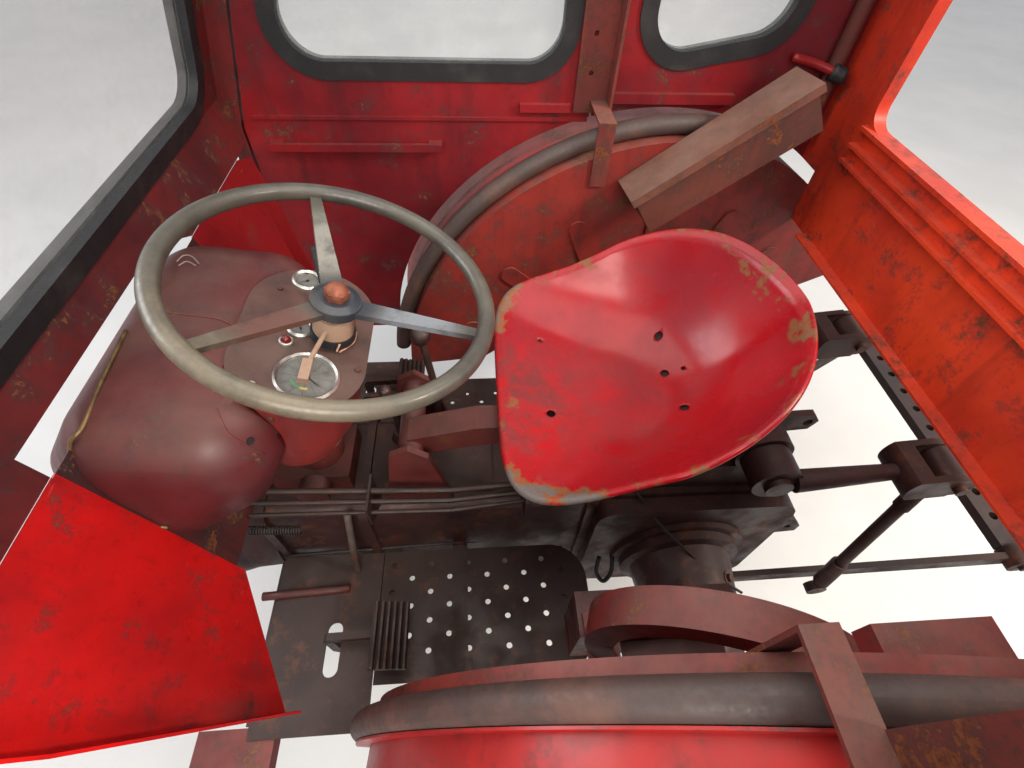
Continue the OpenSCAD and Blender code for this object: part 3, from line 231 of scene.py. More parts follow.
def rubber(name, base, pale, amount=0.4, scale=1.0):
    s = Shader(name)
    fine = s.noise(220 * scale, 6, 0.7)
    worn = s.ramp(s.noise(14 * scale, 8, 0.7), 0.45, 0.75, 0.0, amount)
    colour = s.mix(worn, base, pale)
    return s.finish(colour, s.ramp(fine, 0.3, 0.7, 0.45, 0.75), fine, 0.25, 0.0005)


def plain_metal(name, colour, worn, rough, metallic=0.9):
    s = Shader(name)
    fine = s.noise(90, 8, 0.7)
    tone = s.mix(s.ramp(s.noise(18, 8, 0.7), 0.4, 0.7), colour, worn)
    return s.finish(tone, s.ramp(fine, 0.3, 0.7, rough, rough + 0.25), fine, 0.2, 0.0004, metallic=metallic)


def flat_material(name, colour, rough=0.5, pale=None, scale=60):
    s = Shader(name)
    tone = s.mix(s.ramp(s.noise(scale, 8, 0.7), 0.4, 0.75), colour, pale or dimmer(colour, 0.6))
    return s.finish(tone, rough, s.noise(300, 4), 0.1, 0.0002)


def window_glass(name):
    s = Shader(name)
    dust = s.ramp(s.noise(9, 8, 0.75), 0.4, 0.8, 0.10, 0.26)
    rough = s.ramp(s.noise(30, 5), 0.3, 0.7, 0.04, 0.18)
    return s.finish((0.80, 0.84, 0.80), rough, alpha=dust, specular_ior_level=0.8)


# Painted sheet: colour of the paint, its darker tone, and how it has aged
PAINTS = {
    "door_red": ((0.235, 0.010, 0.013), (0.120, 0.008, 0.012),
        {"rust": 0.36, "dust": 0.14, "gloss": 0.42}),
    # Leg shields: the right side's darker copy of the red is painted shade
    "bright_red": ((0.62, 0.009, 0.008), (0.38, 0.009, 0.011),
        {"rust": 0.30, "dust": 0.05, "gloss": 0.26, "scratch": 0.45, "coat": 0.1,
         "far_side_shade": (0.22, 0.010, 0.012)}),
    "frame_red": ((0.36, 0.010, 0.010), (0.17, 0.010, 0.011),
        {"rust": 0.30, "dust": 0.08, "gloss": 0.3, "coat": 0.2}),
    "wall_red": ((0.66, 0.052, 0.014), (0.46, 0.030, 0.014),
        {"rust": 0.40, "dust": 0.14, "gloss": 0.38, "scratch": 0.15}),
    "strip_red": ((0.16, 0.016, 0.015), (0.075, 0.012, 0.013),
        {"rust": 0.55, "dust": 0.22, "gloss": 0.5}),
    "fender_red": ((0.235, 0.024, 0.017), (0.115, 0.018, 0.016),
        {"rust": 0.55, "dust": 0.26, "gloss": 0.45}),
    "cowl_maroon": ((0.105, 0.018, 0.019), (0.062, 0.012, 0.014),
        {"rust": 0.20, "dust": 0.20, "gloss": 0.36, "scratch": 0.2}),
    "housing_red": ((0.20, 0.020, 0.017), (0.10, 0.016, 0.015),
        {"rust": 0.30, "dust": 0.10, "gloss": 0.45}),
    "panel_brown": ((0.075, 0.030, 0.026), (0.048, 0.024, 0.022),
        {"rust": 0.32, "dust": 0.26, "gloss": 0.5}),
    "box_brown": ((0.13, 0.034, 0.022), (0.08, 0.027, 0.020),
        {"rust": 0.65, "dust": 0.30, "gloss": 0.6}),
    "lid_brown": ((0.17, 0.060, 0.038), (0.115, 0.042, 0.028),
        {"rust": 0.7, "dust": 0.45, "gloss": 0.65}),
    "pillar_red": ((0.18, 0.036, 0.027), (0.095, 0.025, 0.020),
        {"rust": 0.68, "dust": 0.30, "gloss": 0.5}),
    # Near-black for the sheet under the seat pan: painted shade seen through its holes
    "seat_hole_painted_shade": ((0.020, 0.012, 0.010), (0.010, 0.007, 0.006),
        {"rust": 0.3, "dust": 0.0, "gloss": 0.6}),
    "apron": ((0.085, 0.018, 0.016), (0.035, 0.012, 0.012),
        {"rust": 0.5, "dust": 0.1, "gloss": 0.5}),
    "seam_red": ((0.16, 0.020, 0.018), (0.10, 0.016, 0.016), {}),
}
M = {name: painted(name, paint, shade, **age) for name, (paint, shade, age) in PAINTS.items()}
M.update({
    "casting": casting("casting", (0.048, 0.017, 0.014), (0.024, 0.011, 0.011)),
    "casting_dark": casting("casting_dark", (0.018, 0.011, 0.010), (0.034, 0.015, 0.012), rust=0.35, oil=0.6),
    "casting_red": casting("casting_red", (0.105, 0.018, 0.015), (0.048, 0.014, 0.012), rust=0.4),
    "arm_grey": casting("arm_grey", (0.060, 0.040, 0.034), (0.12, 0.09, 0.075), rust=0.3, oil=0.25, grey=0.2),
    "plate_black": casting("plate_black", (0.020, 0.010, 0.008), (0.034, 0.017, 0.014), rust=0.5, oil=0.5,
                           grey=0.02),
    "black_steel": casting("black_steel", (0.012, 0.010, 0.010), (0.026, 0.019, 0.017), rust=0.3, oil=0.4),
    "worn_steel": plain_metal("worn_steel", (0.34, 0.30, 0.27), (0.14, 0.09, 0.07), 0.35),
    "nut_copper": plain_metal("nut_copper", (0.30, 0.10, 0.055), (0.15, 0.05, 0.03), 0.45, 0.6),
    "bezel": plain_metal("bezel", (0.58, 0.56, 0.52), (0.26, 0.22, 0.19), 0.28),
    "brass": plain_metal("brass", (0.24, 0.15, 0.07), (0.05, 0.03, 0.02), 0.4, 0.7),
    "rubber": rubber("rubber", (0.010, 0.010, 0.011), (0.075, 0.065, 0.058)),
    "tube_grey": rubber("tube_grey", (0.055, 0.035, 0.030), (0.16, 0.070, 0.045), 0.7, 0.6),
    "glass": window_glass("glass"),
    "black_plastic": rubber("black_plastic", (0.010, 0.010, 0.012), (0.05, 0.05, 0.055), 0.3),
    "cream": rubber("cream", (0.34, 0.22, 0.15), (0.16, 0.085, 0.055), 0.8, 0.7),
    "dial_face": flat_material("dial_face", (0.16, 0.155, 0.145), 0.4, (0.09, 0.083, 0.07), 45),
    "dial_mark": flat_material("dial_mark", (0.06, 0.06, 0.06)),
    "dial_black": flat_material("dial_black", (0.012, 0.012, 0.014)),
    "dial_green": flat_material("dial_green", (0.10, 0.26, 0.12)),
    "dial_yellow": flat_material("dial_yellow", (0.50, 0.36, 0.08)),
    "lamp_red": flat_material("lamp_red", (0.16, 0.012, 0.014), 0.15),
    "nut_rust": casting("nut_rust", (0.10, 0.035, 0.024), (0.055, 0.024, 0.018), rust=0.6, oil=0.2),
    "wire_peach": rubber("wire_peach", (0.46, 0.26, 0.17), (0.30, 0.17, 0.12)),
    "wire_pale": rubber("wire_pale", (0.26, 0.20, 0.17), (0.16, 0.11, 0.09)),
    "wire_black": rubber("wire_black", (0.012, 0.011, 0.011), (0.05, 0.045, 0.04), 0.3),
})


# Middle of each spoke and its paint
SPOKE_TONES = [
    ((-0.416, 0.082, 0.662), (0.105, 0.042, 0.030)),
    ((-0.589, 0.023, 0.612), (0.15, 0.16, 0.175)),
    ((-0.453, -0.105, 0.655), (0.20, 0.19, 0.165)),
]


def wheel_material():
    """Grey-green rim whose paint has worn to yellow, with spokes of other shades near the hub."""
    s = Shader("wheel_rim")
    fine = s.noise(150, 8, 0.7)
    colour = s.mix(s.ramp(s.noise(8, 7, 0.7), 0.35, 0.65), (0.080, 0.072, 0.054), (0.040, 0.035, 0.030))
    thin = s.ramp(s.noise(11, 7, 0.7), 0.35, 0.55, 0.35, 1.0)
    pale = s.math("MULTIPLY", s.near((-0.40, 0.20, 0.70), 0.26), thin)
    colour = s.mix(pale, colour, s.mix(fine, (0.20, 0.165, 0.11), (0.11, 0.090, 0.060)))
    colour = s.mix(s.ramp(s.noise(30, 9, 0.75), 0.62, 0.70, 0.0, 0.6), colour, (0.24, 0.19, 0.11))
    # Spokes of other shades round a dark hub
    for centre, tone in SPOKE_TONES:
        worn = s.mix(s.ramp(s.noise(26, 8, 0.7), 0.45, 0.65), tone, dimmer(tone, 0.45))
        colour = s.mix(s.near(centre, 0.085), colour, worn)
    colour = s.mix(s.near((-0.486, 0.0, 0.63), 0.075), colour, (0.022, 0.026, 0.034))
    return s.finish(colour, s.ramp(fine, 0.3, 0.7, 0.30, 0.5), fine, 0.25, 0.0005, coat_weight=0.15)


M["wheel_rim"] = wheel_material()

NODE_MATERIALS = {
    "casting": "clutch_housing gearbox_case rear_axle_case axle_trumpets lift_cover wheel_hub_l wheel_hub_r"
               " lift_arms lift_rods",
    "casting_dark": "lower_links drawbar top_link_bracket pipes gear_levers",
    "casting_red": "steering_column seat_arm fender_brackets",
    "plate_black": "footplates footplate_brackets clutch_pedal brake_pedals",
    "worn_steel": "pto_shaft",
    "fender_red": "fenders fender_strap",
    "frame_red": "arch_frames",
    "tube_grey": "arch_seals",
    "bright_red": "leg_shields",
    "strip_red": "front_wall",
    "door_red": "door_r door_l quarter_panels roof",
    "wall_red": "rear_wall",
    "pillar_red": "pillars",
    "box_brown": "toolbox",
    "lid_brown": "toolbox_lid",
    "cowl_maroon": "cowl",
    "housing_red": "instrument_housing",
    "panel_brown": "instrument_panel",
    "bezel": "gauges",
    "rubber": "windscreen_seal quarter_seals door_l_seal door_r_seal",
    "glass": "windscreen quarter_glass door_l_glass door_r_glass",
    "wheel_rim": "steering_wheel",
    "nut_copper": "steering_shaft",
    "cream": "indicator_switch",
    "black_plastic": "throttle_lever",
}
for material, nodes in NODE_MATERIALS.items():
    for name in nodes.split():
        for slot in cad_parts[name].material_slots:
            slot.material = M[material]


# Mesh helpers

def mesh_piece(name, verts, faces, material, body="station"):
    mesh = bpy.data.meshes.new(name)
    mesh.from_pydata([tuple(v) for v in verts], [], faces)
    mesh.validate()
    mesh.update()
    mesh.polygons.foreach_set("use_smooth", [True] * len(mesh.polygons))
    obj = bpy.data.objects.new(name, mesh)
    bpy.context.collection.objects.link(obj)
    obj.data.materials.append(M[material])
    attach(obj, body)
    return obj


def apply_modifiers(obj):
    graph = bpy.context.evaluated_depsgraph_get()
    mesh = bpy.data.meshes.new_from_object(obj.evaluated_get(graph))
    obj.modifiers.clear()
    obj.data = mesh


def pixel_ray(px, py):
    across, down = (px - IMAGE_W / 2) / FOCAL_PX, (py - IMAGE_H / 2) / FOCAL_PX
    return (CAMERA_AHEAD + CAMERA_RIGHT * across - CAMERA_UP * down).normalized()


# Faceted nodes whose curved skin is shaded smooth in the picture

SHARP_FROM = math.radians(32)
SAME_POINT = 0.00002


def smooth_copy(name):
    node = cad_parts[name]
    bm = bmesh.new()
    bm.from_mesh(node.data)
    bm.transform(node.matrix_world)
    bmesh.ops.remove_doubles(bm, verts=bm.verts, dist=SAME_POINT)
    mesh = bpy.data.meshes.new(name + "_skin")
    bm.to_mesh(mesh)
    bm.free()
    mesh.polygons.foreach_set("use_smooth", [True] * len(mesh.polygons))
    mesh.set_sharp_from_angle(angle=SHARP_FROM)
    obj = bpy.data.objects.new(name + "_skin", mesh)
    bpy.context.collection.objects.link(obj)
    mesh.materials.clear()
    mesh.materials.append(node.material_slots[0].material)
    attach(obj, "station")
    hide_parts(name)


smooth_copy("cowl")
smooth_copy("instrument_housing")


# Seat pan: a superellipse in plan, squarer in front than behind, with a dished, leaning bowl

DEEPEST = 0.489
SEAT_CX = SEAT_FRONT - SEAT_L * DEEPEST
FRONT_LEN = SEAT_FRONT - SEAT_CX
REAR_LEN = SEAT_L - FRONT_LEN
FRONT_POWER, REAR_POWER, BOWL_POWER = 5.7, 1.65, 3.2
# Fitted waves of the outline at 2, 3 and 4 times the angle, and the height of the rim's sides
WAVE_2, WAVE_3, WAVE_4, RIM_SIDES = 0.011, 0.019, 0.012, 0.005
SEAT_COUNT, SEAT_RINGS = 160, 26
ROLL_RADIUS, ROLL_STEPS, ROLL_STEP_DEG, ROLL_FLATTEN = 0.0075, 8, 28, 0.9
SHEET = 0.003


def seat_outline(a):
    """Distance of the rim from the bowl's centre in plan, at an angle from the front."""
    c, s = math.cos(a), abs(math.sin(a))
    n, length = (FRONT_POWER, FRONT_LEN) if c > 0 else (REAR_POWER, REAR_LEN)
    r = ((abs(c) / length) ** n + (s / SEAT_HALF) ** n) ** (-1 / n)
    waves = WAVE_2 * (math.cos(2 * a) - 1) + WAVE_3 * (math.cos(3 * a) - c) - WAVE_4 * (math.cos(4 * a) - 1)
    return r * (1 + waves)


def seat_height(t, a):
    """Height at a share t of the way from the bowl's centre to the rim."""
    rim = (SEAT_Z + SEAT_LIP + (SEAT_BACK - SEAT_LIP + RIM_DIP) * (1 - math.cos(a)) / 2
           + RIM_SIDES * (1 - math.cos(2 * a)) - RIM_DIP * (1 - math.cos(3 * a)) / 2
           - SEAT_LEAN * seat_outline(a) * math.sin(a))
    return SEAT_Z + (rim - SEAT_Z) * t ** BOWL_POWER


def seat_mesh():
    """Points and faces of the pan's upper skin: rings out from the centre, then the rolled rim."""
    count = SEAT_COUNT
    rows = []
    for k in range(1, SEAT_RINGS + 1):
        t = k / SEAT_RINGS
        row = []
        for i in range(count):
            a = 2 * math.pi * i / count
            r = seat_outline(a) * t
            row.append(Vector((SEAT_CX + r * math.cos(a), SEAT_Y + r * math.sin(a), seat_height(t, a))))
        rows.append(row)
    # Rolled rim: an arc outward and down from the last ring
    last = rows[-1]
    for k in range(1, ROLL_STEPS + 1):
        turn = math.radians(ROLL_STEP_DEG * k)
        drop = Vector((0, 0, ROLL_RADIUS * (math.cos(turn) - 1)))
        row = []
        for i in range(count):
            along = last[(i + 1) % count] - last[i - 1]
            out = Vector((along.y, -along.x, 0)).normalized()
            row.append(last[i] + out * (ROLL_RADIUS * math.sin(turn)) * ROLL_FLATTEN + drop)
        rows.append(row)
    verts = [Vector((SEAT_CX, SEAT_Y, SEAT_Z))] + [v for row in rows for v in row]
    faces = [(0, 1 + i, 1 + (i + 1) % count) for i in range(count)]
    for k in range(len(rows) - 1):
        for i in range(count):
            j = (i + 1) % count
            a, b = 1 + k * count, 1 + (k + 1) * count
            faces.append((a + i, b + i, b + j, a + j))
    return verts, faces


def thicken(obj, thickness, offset):
    solid = obj.modifiers.new("sheet", "SOLIDIFY")
    solid.thickness, solid.offset = thickness, offset


def make_seat():
    verts, faces = seat_mesh()
    seat = mesh_piece("seat_shell", verts, faces, "seat_red")
    thicken(seat, SHEET, -1)
    holes = bmesh.new()
    shell = BVHTree.FromPolygons(verts, faces)
    for px, py, r in SEAT_HOLES:
        x, y, _ = shell.ray_cast(CAMERA_AT, pixel_ray(px, py))[0]
        bmesh.ops.create_cone(holes, cap_ends=True, segments=20, radius1=r, radius2=r, depth=0.2,
                              matrix=Matrix.Translation((x, y, SEAT_Z)))
    cutter_mesh = bpy.data.meshes.new("cutter")
    holes.to_mesh(cutter_mesh)
    holes.free()
    cutter = bpy.data.objects.new("cutter", cutter_mesh)
    bpy.context.collection.objects.link(cutter)
    cut = seat.modifiers.new("holes", "BOOLEAN")
    cut.object, cut.operation, cut.solver = cutter, "DIFFERENCE", "EXACT"
    apply_modifiers(seat)
    bpy.data.objects.remove(cutter)
    # How close each point is to the rim, which the material reads for its wear
    wear = seat.data.attributes.new("wear", "FLOAT", "POINT")
    values = []
    for v in seat.data.vertices:
        dx, dy = v.co.x - SEAT_CX, v.co.y - SEAT_Y
        t = math.hypot(dx, dy) / seat_outline(math.atan2(dy, dx))
        values.append(max(0.0, min(1.2, (t - 0.80) / 0.2)))
    wear.data.foreach_set("value", values)
    seat.data.polygons.foreach_set("use_smooth", [True] * len(seat.data.polygons))
    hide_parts("seat_pan")
    # Dark sheet under the pan: painted shade seen through its holes
    hole_shade_sheet(shell)


# Pixels between which the sheet of painted shade under the pan is seen, its grid and its depth below the skin
SHADE_SHEET_LEFT, SHADE_SHEET_TOP, SHADE_SHEET_WIDE, SHADE_SHEET_HIGH = 636, 312, 70, 116
SHADE_SHEET_COLS, SHADE_SHEET_ROWS, SHADE_SHEET_DEPTH, SHADE_SHEET_T = 7, 9, 0.011, 0.002


def hole_shade_sheet(shell):
    """Dark sheet under the pan, painted shade seen through its bolt holes."""
    cols, rows = SHADE_SHEET_COLS, SHADE_SHEET_ROWS
    points = []
    for j in range(rows):
        for i in range(cols):
            ray = pixel_ray(SHADE_SHEET_LEFT + SHADE_SHEET_WIDE * i / (cols - 1), SHADE_SHEET_TOP + SHADE_SHEET_HIGH * j / (rows - 1))
            points.append(shell.ray_cast(CAMERA_AT, ray)[0] + ray * SHADE_SHEET_DEPTH)
    faces = [(j * cols + i, j * cols + i + 1, (j + 1) * cols + i + 1, (j + 1) * cols + i)
             for j in range(rows - 1) for i in range(cols - 1)]
    shade_sheet = mesh_piece("seat_hole_shade_sheet", points, faces, "seat_hole_painted_shade")
    thicken(shade_sheet, SHADE_SHEET_T, 0)
    apply_modifiers(shade_sheet)


# Bolt holes and drain holes: the pixel that shows each, and its radius
SEAT_HOLES = [(658.6, 335.6, 0.0075), (664.8, 373, 0.0075), (684.5, 407.4, 0.0075), (550.9, 413.4, 0.008),
              (539.7, 340.6, 0.004), (683.4, 368, 0.004)]
# Places on the rim where the paint is worn most
WORN_CORNERS = [(-0.725, 0.190, 0.43), (-0.735, -0.190, 0.45), (-0.80, 0.235, 0.47)]


def seat_material():
    s = Shader("seat_red")
    edge = s.node("ShaderNodeAttribute", attribute_name="wear").outputs["Fac"]
    fine = s.noise(200, 6, 0.75)
    patch = s.noise(16, 10, 0.7)
    colour = s.mix(s.ramp(s.noise(4, 5), 0.35, 0.7), (0.33, 0.005, 0.008), (0.20, 0.007, 0.012))
    # Dull brown where the driver sat
    sat = s.math("MULTIPLY", s.near((-0.90, 0.03, SEAT_Z), 0.22), s.ramp(s.noise(9, 9, 0.75), 0.35, 0.65))
    colour = s.mix(s.math("MULTIPLY", sat, 0.45), colour, (0.13, 0.030, 0.030))
    # Darker towards the front edge: partly grime and wear, partly painted shade over the front of the pan
    front = s.math("MULTIPLY", s.near((-0.72, 0.02, SEAT_Z), 0.20), s.ramp(s.noise(20, 9, 0.8), 0.42, 0.62))
    colour = s.mix(s.math("MULTIPLY", front, 0.8), colour, (0.105, 0.026, 0.026))
    speck = s.ramp(s.noise(75, 9, 0.8), 0.60, 0.66)
    speck = s.math("MULTIPLY", speck, s.near((-0.90, 0.05, SEAT_Z), 0.26))
    colour = s.mix(speck, colour, (0.060, 0.014, 0.012))
    scratch = s.noise(7, 3, 0.5, stretch=(4, 60, 4), turn=(0.2, 0.1, 0.8))
    colour = s.mix(s.ramp(scratch, 0.71, 0.75, 0.0, 0.35), colour, (0.55, 0.10, 0.08))
    worn = s.math("ADD", patch, s.math("MULTIPLY", edge, 0.155))
    for corner in WORN_CORNERS:
        worn = s.math("ADD", worn, s.math("MULTIPLY", s.math("MULTIPLY", s.near(corner, 0.10), edge), 0.10))
    rusty = s.ramp(worn, 0.70, 0.73)
    colour = s.mix(rusty, colour, s.mix(fine, (0.10, 0.035, 0.014), (0.26, 0.085, 0.022)))
    bare = s.ramp(worn, 0.77, 0.80)
    colour = s.mix(bare, colour, s.mix(fine, (0.075, 0.060, 0.055), (0.14, 0.12, 0.11)))
    rough = s.math("ADD", s.ramp(patch, 0.35, 0.7, 0.20, 0.36), s.math("MULTIPLY", rusty, 0.3))
    height = s.math("SUBTRACT", s.math("MULTIPLY", fine, 0.12), s.math("MULTIPLY", rusty, 0.5))
    return s.finish(colour, rough, height, 0.3, 0.0005, coat_weight=0.12, coat_roughness=0.15,
                    specular_ior_level=0.3)


M["seat_red"] = seat_material()
make_seat()


# Picking: where the camera's ray through a pixel meets the solids

def sight_tree(names):
    """Surfaces of the named nodes."""
    verts, faces = [], []
    for name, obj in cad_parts.items():
        if name not in names.split():
            continue
        base = len(verts)
        verts += [obj.matrix_world @ v.co for v in obj.data.vertices]
        faces += [[base + i for i in f.vertices] for f in obj.data.polygons]
    return BVHTree.FromPolygons(verts, faces)


DASH = sight_tree("instrument_panel instrument_housing cowl")
SHELL = sight_tree("cowl instrument_housing")
AXLE = sight_tree("axle_trumpets rear_axle_case")


def pick(px, py, tree):
    """Point and outward normal of the surface seen at a pixel of the 1024 by 768 picture."""
    ray = pixel_ray(px, py)
    point, normal, _, _ = tree.ray_cast(CAMERA_AT, ray)
    if normal.dot(ray) > 0:
        normal = -normal
    return point, normal


def facing(normal, at):
    """Matrix that stands local Z on a normal at a point."""
    return Matrix.Translation(at) @ normal.to_track_quat("Z", "Y").to_matrix().to_4x4()


def add_prism(bm, where, radius, height, sides=6):
    """Prism with a bevelled top, standing on the plane of a matrix."""
    top = radius * 0.92
    rings = [[bm.verts.new(where @ v) for v in circle(r, sides, z)]
             for r, z in ((radius, -0.0005), (radius, height * 0.8), (top, height))]
    for low, high in zip(rings, rings[1:]):
        for i in range(sides):
            bm.faces.new((low[i], low[(i + 1) % sides], high[(i + 1) % sides], high[i]))
    bm.faces.new(rings[-1])
    bm.faces.new(rings[0][::-1])


def finish_piece(bm, name, materials, body="station", smooth=False):
    mesh = bpy.data.meshes.new(name)
    bmesh.ops.recalc_face_normals(bm, faces=bm.faces)
    bm.to_mesh(mesh)
    bm.free()
    for m in materials.split():
        mesh.materials.append(M[m])
    mesh.polygons.foreach_set("use_smooth", [smooth] * len(mesh.polygons))
    obj = bpy.data.objects.new(name, mesh)
    bpy.context.collection.objects.link(obj)
    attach(obj, body)
    return obj


def bolts(name, pixels, radius, tree, material="nut_rust", washer=True, sides=6):
    """Bolt or screw heads on what the pixels show, each turned a little further."""
    bm = bmesh.new()
    for i, (px, py) in enumerate(pixels):
        at, normal = pick(px, py, tree)
        where = facing(normal, at) @ Matrix.Rotation(0.7 * i, 4, "Z")
        if washer:
            add_prism(bm, where, radius * 1.5, radius * 0.22, 24)
        seat = Matrix.Translation((0, 0, radius * 0.2 if washer else 0))
        add_prism(bm, where @ seat, radius, radius * 0.75, sides)
    return finish_piece(bm, name, material)


def smooth_path(points, steps=8):
    """Catmull-Rom points through a list of points."""
    pts = [Vector(p) for p in points]
    pts = [2 * pts[0] - pts[1]] + pts + [2 * pts[-1] - pts[-2]]
    out = []
    for a, b, c, d in zip(pts, pts[1:], pts[2:], pts[3:]):
        for k in range(steps):
            t = k / steps
            out.append(0.5 * (2 * b + (c - a) * t + (2 * a - 5 * b + 4 * c - d) * t ** 2
                              + (3 * b - a - 3 * c + d) * t ** 3))
    return out + [pts[-2]]


def tube(name, points, radius, material, sides=10, steps=8):
    """Round bar or wire through the points, with steps parts between two of them."""
    path = smooth_path(points, steps) if steps else [Vector(p) for p in points]
    bm = bmesh.new()
    side = None
    rings = []
    for i, at in enumerate(path):
        along = (path[min(i + 1, len(path) - 1)] - path[max(i - 1, 0)]).normalized()
        if side is None:
            side = along.orthogonal().normalized()
        side = (side - along * side.dot(along)).normalized()
        over = along.cross(side)
        rings.append([bm.verts.new(at + side * v.x + over * v.y) for v in circle(radius, sides)])
    for low, high in zip(rings, rings[1:]):
        for k in range(sides):
            bm.faces.new((low[k], low[(k + 1) % sides], high[(k + 1) % sides], high[k]))
    bm.faces.new(rings[0][::-1])
    bm.faces.new(rings[-1])
    return finish_piece(bm, name, material, smooth=True)


# Gauges: dial faces with generic marks in the panel's own plane

DIAL_MATERIALS = "dial_face dial_mark dial_black dial_green dial_yellow"
FACE, MARK, BLACK, GREEN, YELLOW = range(5)
# Height of a dial's face over the panel, and of what lies on it over the face
DIAL_LIFT, TICK_LIFT, ARC_LIFT, NEEDLE_LIFT = 0.0013, 0.0002, 0.0003, 0.0012
NEEDLE_HALF, HUB_HEIGHT = 0.0014, 0.002
# Shares of the dial's radius: outer and inner ends of the ticks, the needle's tip and tail, and its hub
TICK_OUT, TICK_SHORT, TICK_LONG, NEEDLE_TIP, NEEDLE_TAIL, HUB = 0.94, 0.84, 0.74, 0.8, 0.2, 0.12


def dial(name, x, y, radius, ticks, needle, arcs=(), long_from=TICK_LONG):
    """Face, ring of ticks, coloured arcs and a needle, all a hair above the gauge's solid."""
    bm = bmesh.new()
    z0 = PANEL_T + DIAL_LIFT

    def put_face(points, z, index):
        f = bm.faces.new([bm.verts.new(PANEL @ Vector((x + at[0], y + at[1], z))) for at in points])
        f.material_index = index

    def ring_part(r0, r1, a0, a1, z, index, steps):
        for k in range(steps):
            b0, b1 = a0 + (a1 - a0) * k / steps, a0 + (a1 - a0) * (k + 1) / steps
            corners = ((r0, b0), (r1, b0), (r1, b1), (r0, b1))
            put_face([(r * math.cos(b), r * math.sin(b)) for r, b in corners], z, index)

    put_face(circle(radius, 60), z0, FACE)
    for i in range(ticks):
        a = 2 * math.pi * i / ticks
        start, half = (long_from, 0.012) if i % 5 == 0 else (TICK_SHORT, 0.006)
        ring_part(radius * start, radius * TICK_OUT, a - half, a + half, z0 + TICK_LIFT, MARK, 1)
    for r0, r1, a0, a1, index in arcs:
        ring_part(radius * r0, radius * r1, a0, a1, z0 + ARC_LIFT, index, 14)
    tip, tail, w = radius * NEEDLE_TIP, radius * NEEDLE_TAIL, NEEDLE_HALF
    c, d = math.cos(needle), math.sin(needle)
    needle_points = [(c * tip, d * tip), (-c * tail - d * w, -d * tail + c * w),
                     (-c * tail + d * w, -d * tail - c * w)]
    put_face(needle_points, z0 + NEEDLE_LIFT, BLACK)
    first = len(bm.faces)
    add_prism(bm, PANEL @ Matrix.Translation((x, y, z0)), radius * HUB, HUB_HEIGHT, 20)
    bm.faces.ensure_lookup_table()
    for f in bm.faces[first:]:
        f.material_index = BLACK
    finish_piece(bm, name, DIAL_MATERIALS)


METER_ARCS = ((0.50, 0.60, 0.4, 1.3, GREEN), (0.50, 0.60, 1.3, 1.8, YELLOW))
dial("meter_dial", -0.016, 0.084, 0.0385, 60, 2.5, METER_ARCS, long_from=0.28)
dial("small_dial_front", 0.020, -0.117, 0.0175, 25, 0.6)
dial("small_dial_mid", 0.010, -0.008, 0.0135, 20, 1.9)


# Small fittings placed on the surfaces that the picture shows them on

def cable(name, pixels, radius, material, tree, lift=None):
    """Cable or trim that lies on what the pixels show, or is lifted off it."""
    lift = radius * 0.7 if lift is None else lift
    points = []
    for px, py in pixels:
        at, normal = pick(px, py, tree)
        points.append(at + normal * lift)
    tube(name, points, radius, material)


def coil(name, start, end, radius, turns, wire, material):
    """Coil spring between two points."""
    start, end = Vector(start), Vector(end)
    along = (end - start).normalized()
    side = along.orthogonal().normalized()
    over = along.cross(side)
    per_turn = 14
    points = []
    for i in range(turns * per_turn + 1):
        a = 2 * math.pi * i / per_turn
        t = i / (turns * per_turn)
        points.append(start.lerp(end, t) + side * radius * math.cos(a) + over * radius * math.sin(a))
    tube(name, points, wire, material, sides=6, steps=0)


LAMP_AT = (0.024, 0.024)
LAMP_RING = [(0.0100, 0.0), (0.0104, 0.0035), (0.0096, 0.0056), (0.0080, 0.0062), (0.0072, 0.0055)]
DOME_R, DOME_RISE, DOME_FOOT, DOME_RINGS, LAMP_SIDES = 0.0072, 0.0086, 0.0055, 7, 32


def lamp():
    """Red warning lamp: a chrome ring and a glass dome in the panel's plane."""
    bm = bmesh.new()
    where = PANEL @ Matrix.Translation((*LAMP_AT, PANEL_T))
    rise = [k * math.pi / (2 * DOME_RINGS) for k in range(DOME_RINGS)]
    dome = [(DOME_R * math.cos(a), DOME_FOOT + DOME_RISE * math.sin(a)) for a in rise]
    for index, line in enumerate((LAMP_RING, dome)):
        rings = [[bm.verts.new(where @ v) for v in circle(r, LAMP_SIDES, z)] for r, z in line]
        for low, high in zip(rings, rings[1:]):
            for i in range(LAMP_SIDES):
                j = (i + 1) % LAMP_SIDES
                bm.faces.new((low[i], low[j], high[j], high[i])).material_index = index
        if line is dome:
            bm.faces.new(rings[-1]).material_index = index
    finish_piece(bm, "warning_lamp", "bezel lamp_red", smooth=True)


lamp()
SCREWS = [(280.4, 289), (307.3, 273.7), (357.6, 370.6), (337.1, 403.3), (271.2, 418.6)]
bolts("panel_screws", SCREWS, 0.0042, DASH, washer=False, sides=20)
bolts("panel_washer", [(251.2, 385.3)], 0.0055, DASH, "bezel", washer=False, sides=24)
bolts("panel_plug", [(349.8, 342)], 0.0075, DASH, "dial_black", washer=False, sides=24)
bolts("housing_fastener", [(249.8, 441)], 0.0045, SHELL, "dial_black", washer=False, sides=18)
TRIM = [(127, 332), (104, 380), (85, 426), (72, 446), (82, 486), (110, 508), (147, 523), (169, 526)]
cable("cowl_trim", TRIM, 0.003, "brass", SHELL)
SEAM = [(217, 409), (222, 422), (229, 434), (246, 445), (264, 454)]
cable("flank_seam", SEAM, 0.0011, "seam_red", SHELL, lift=0.0002)
CREASE = [(162, 311.8), (188, 315), (215.1, 318.6), (228, 323), (239.6, 329.8)]
cable("cowl_crease", CREASE, 0.0016, "seam_red", SHELL, lift=0.0002)
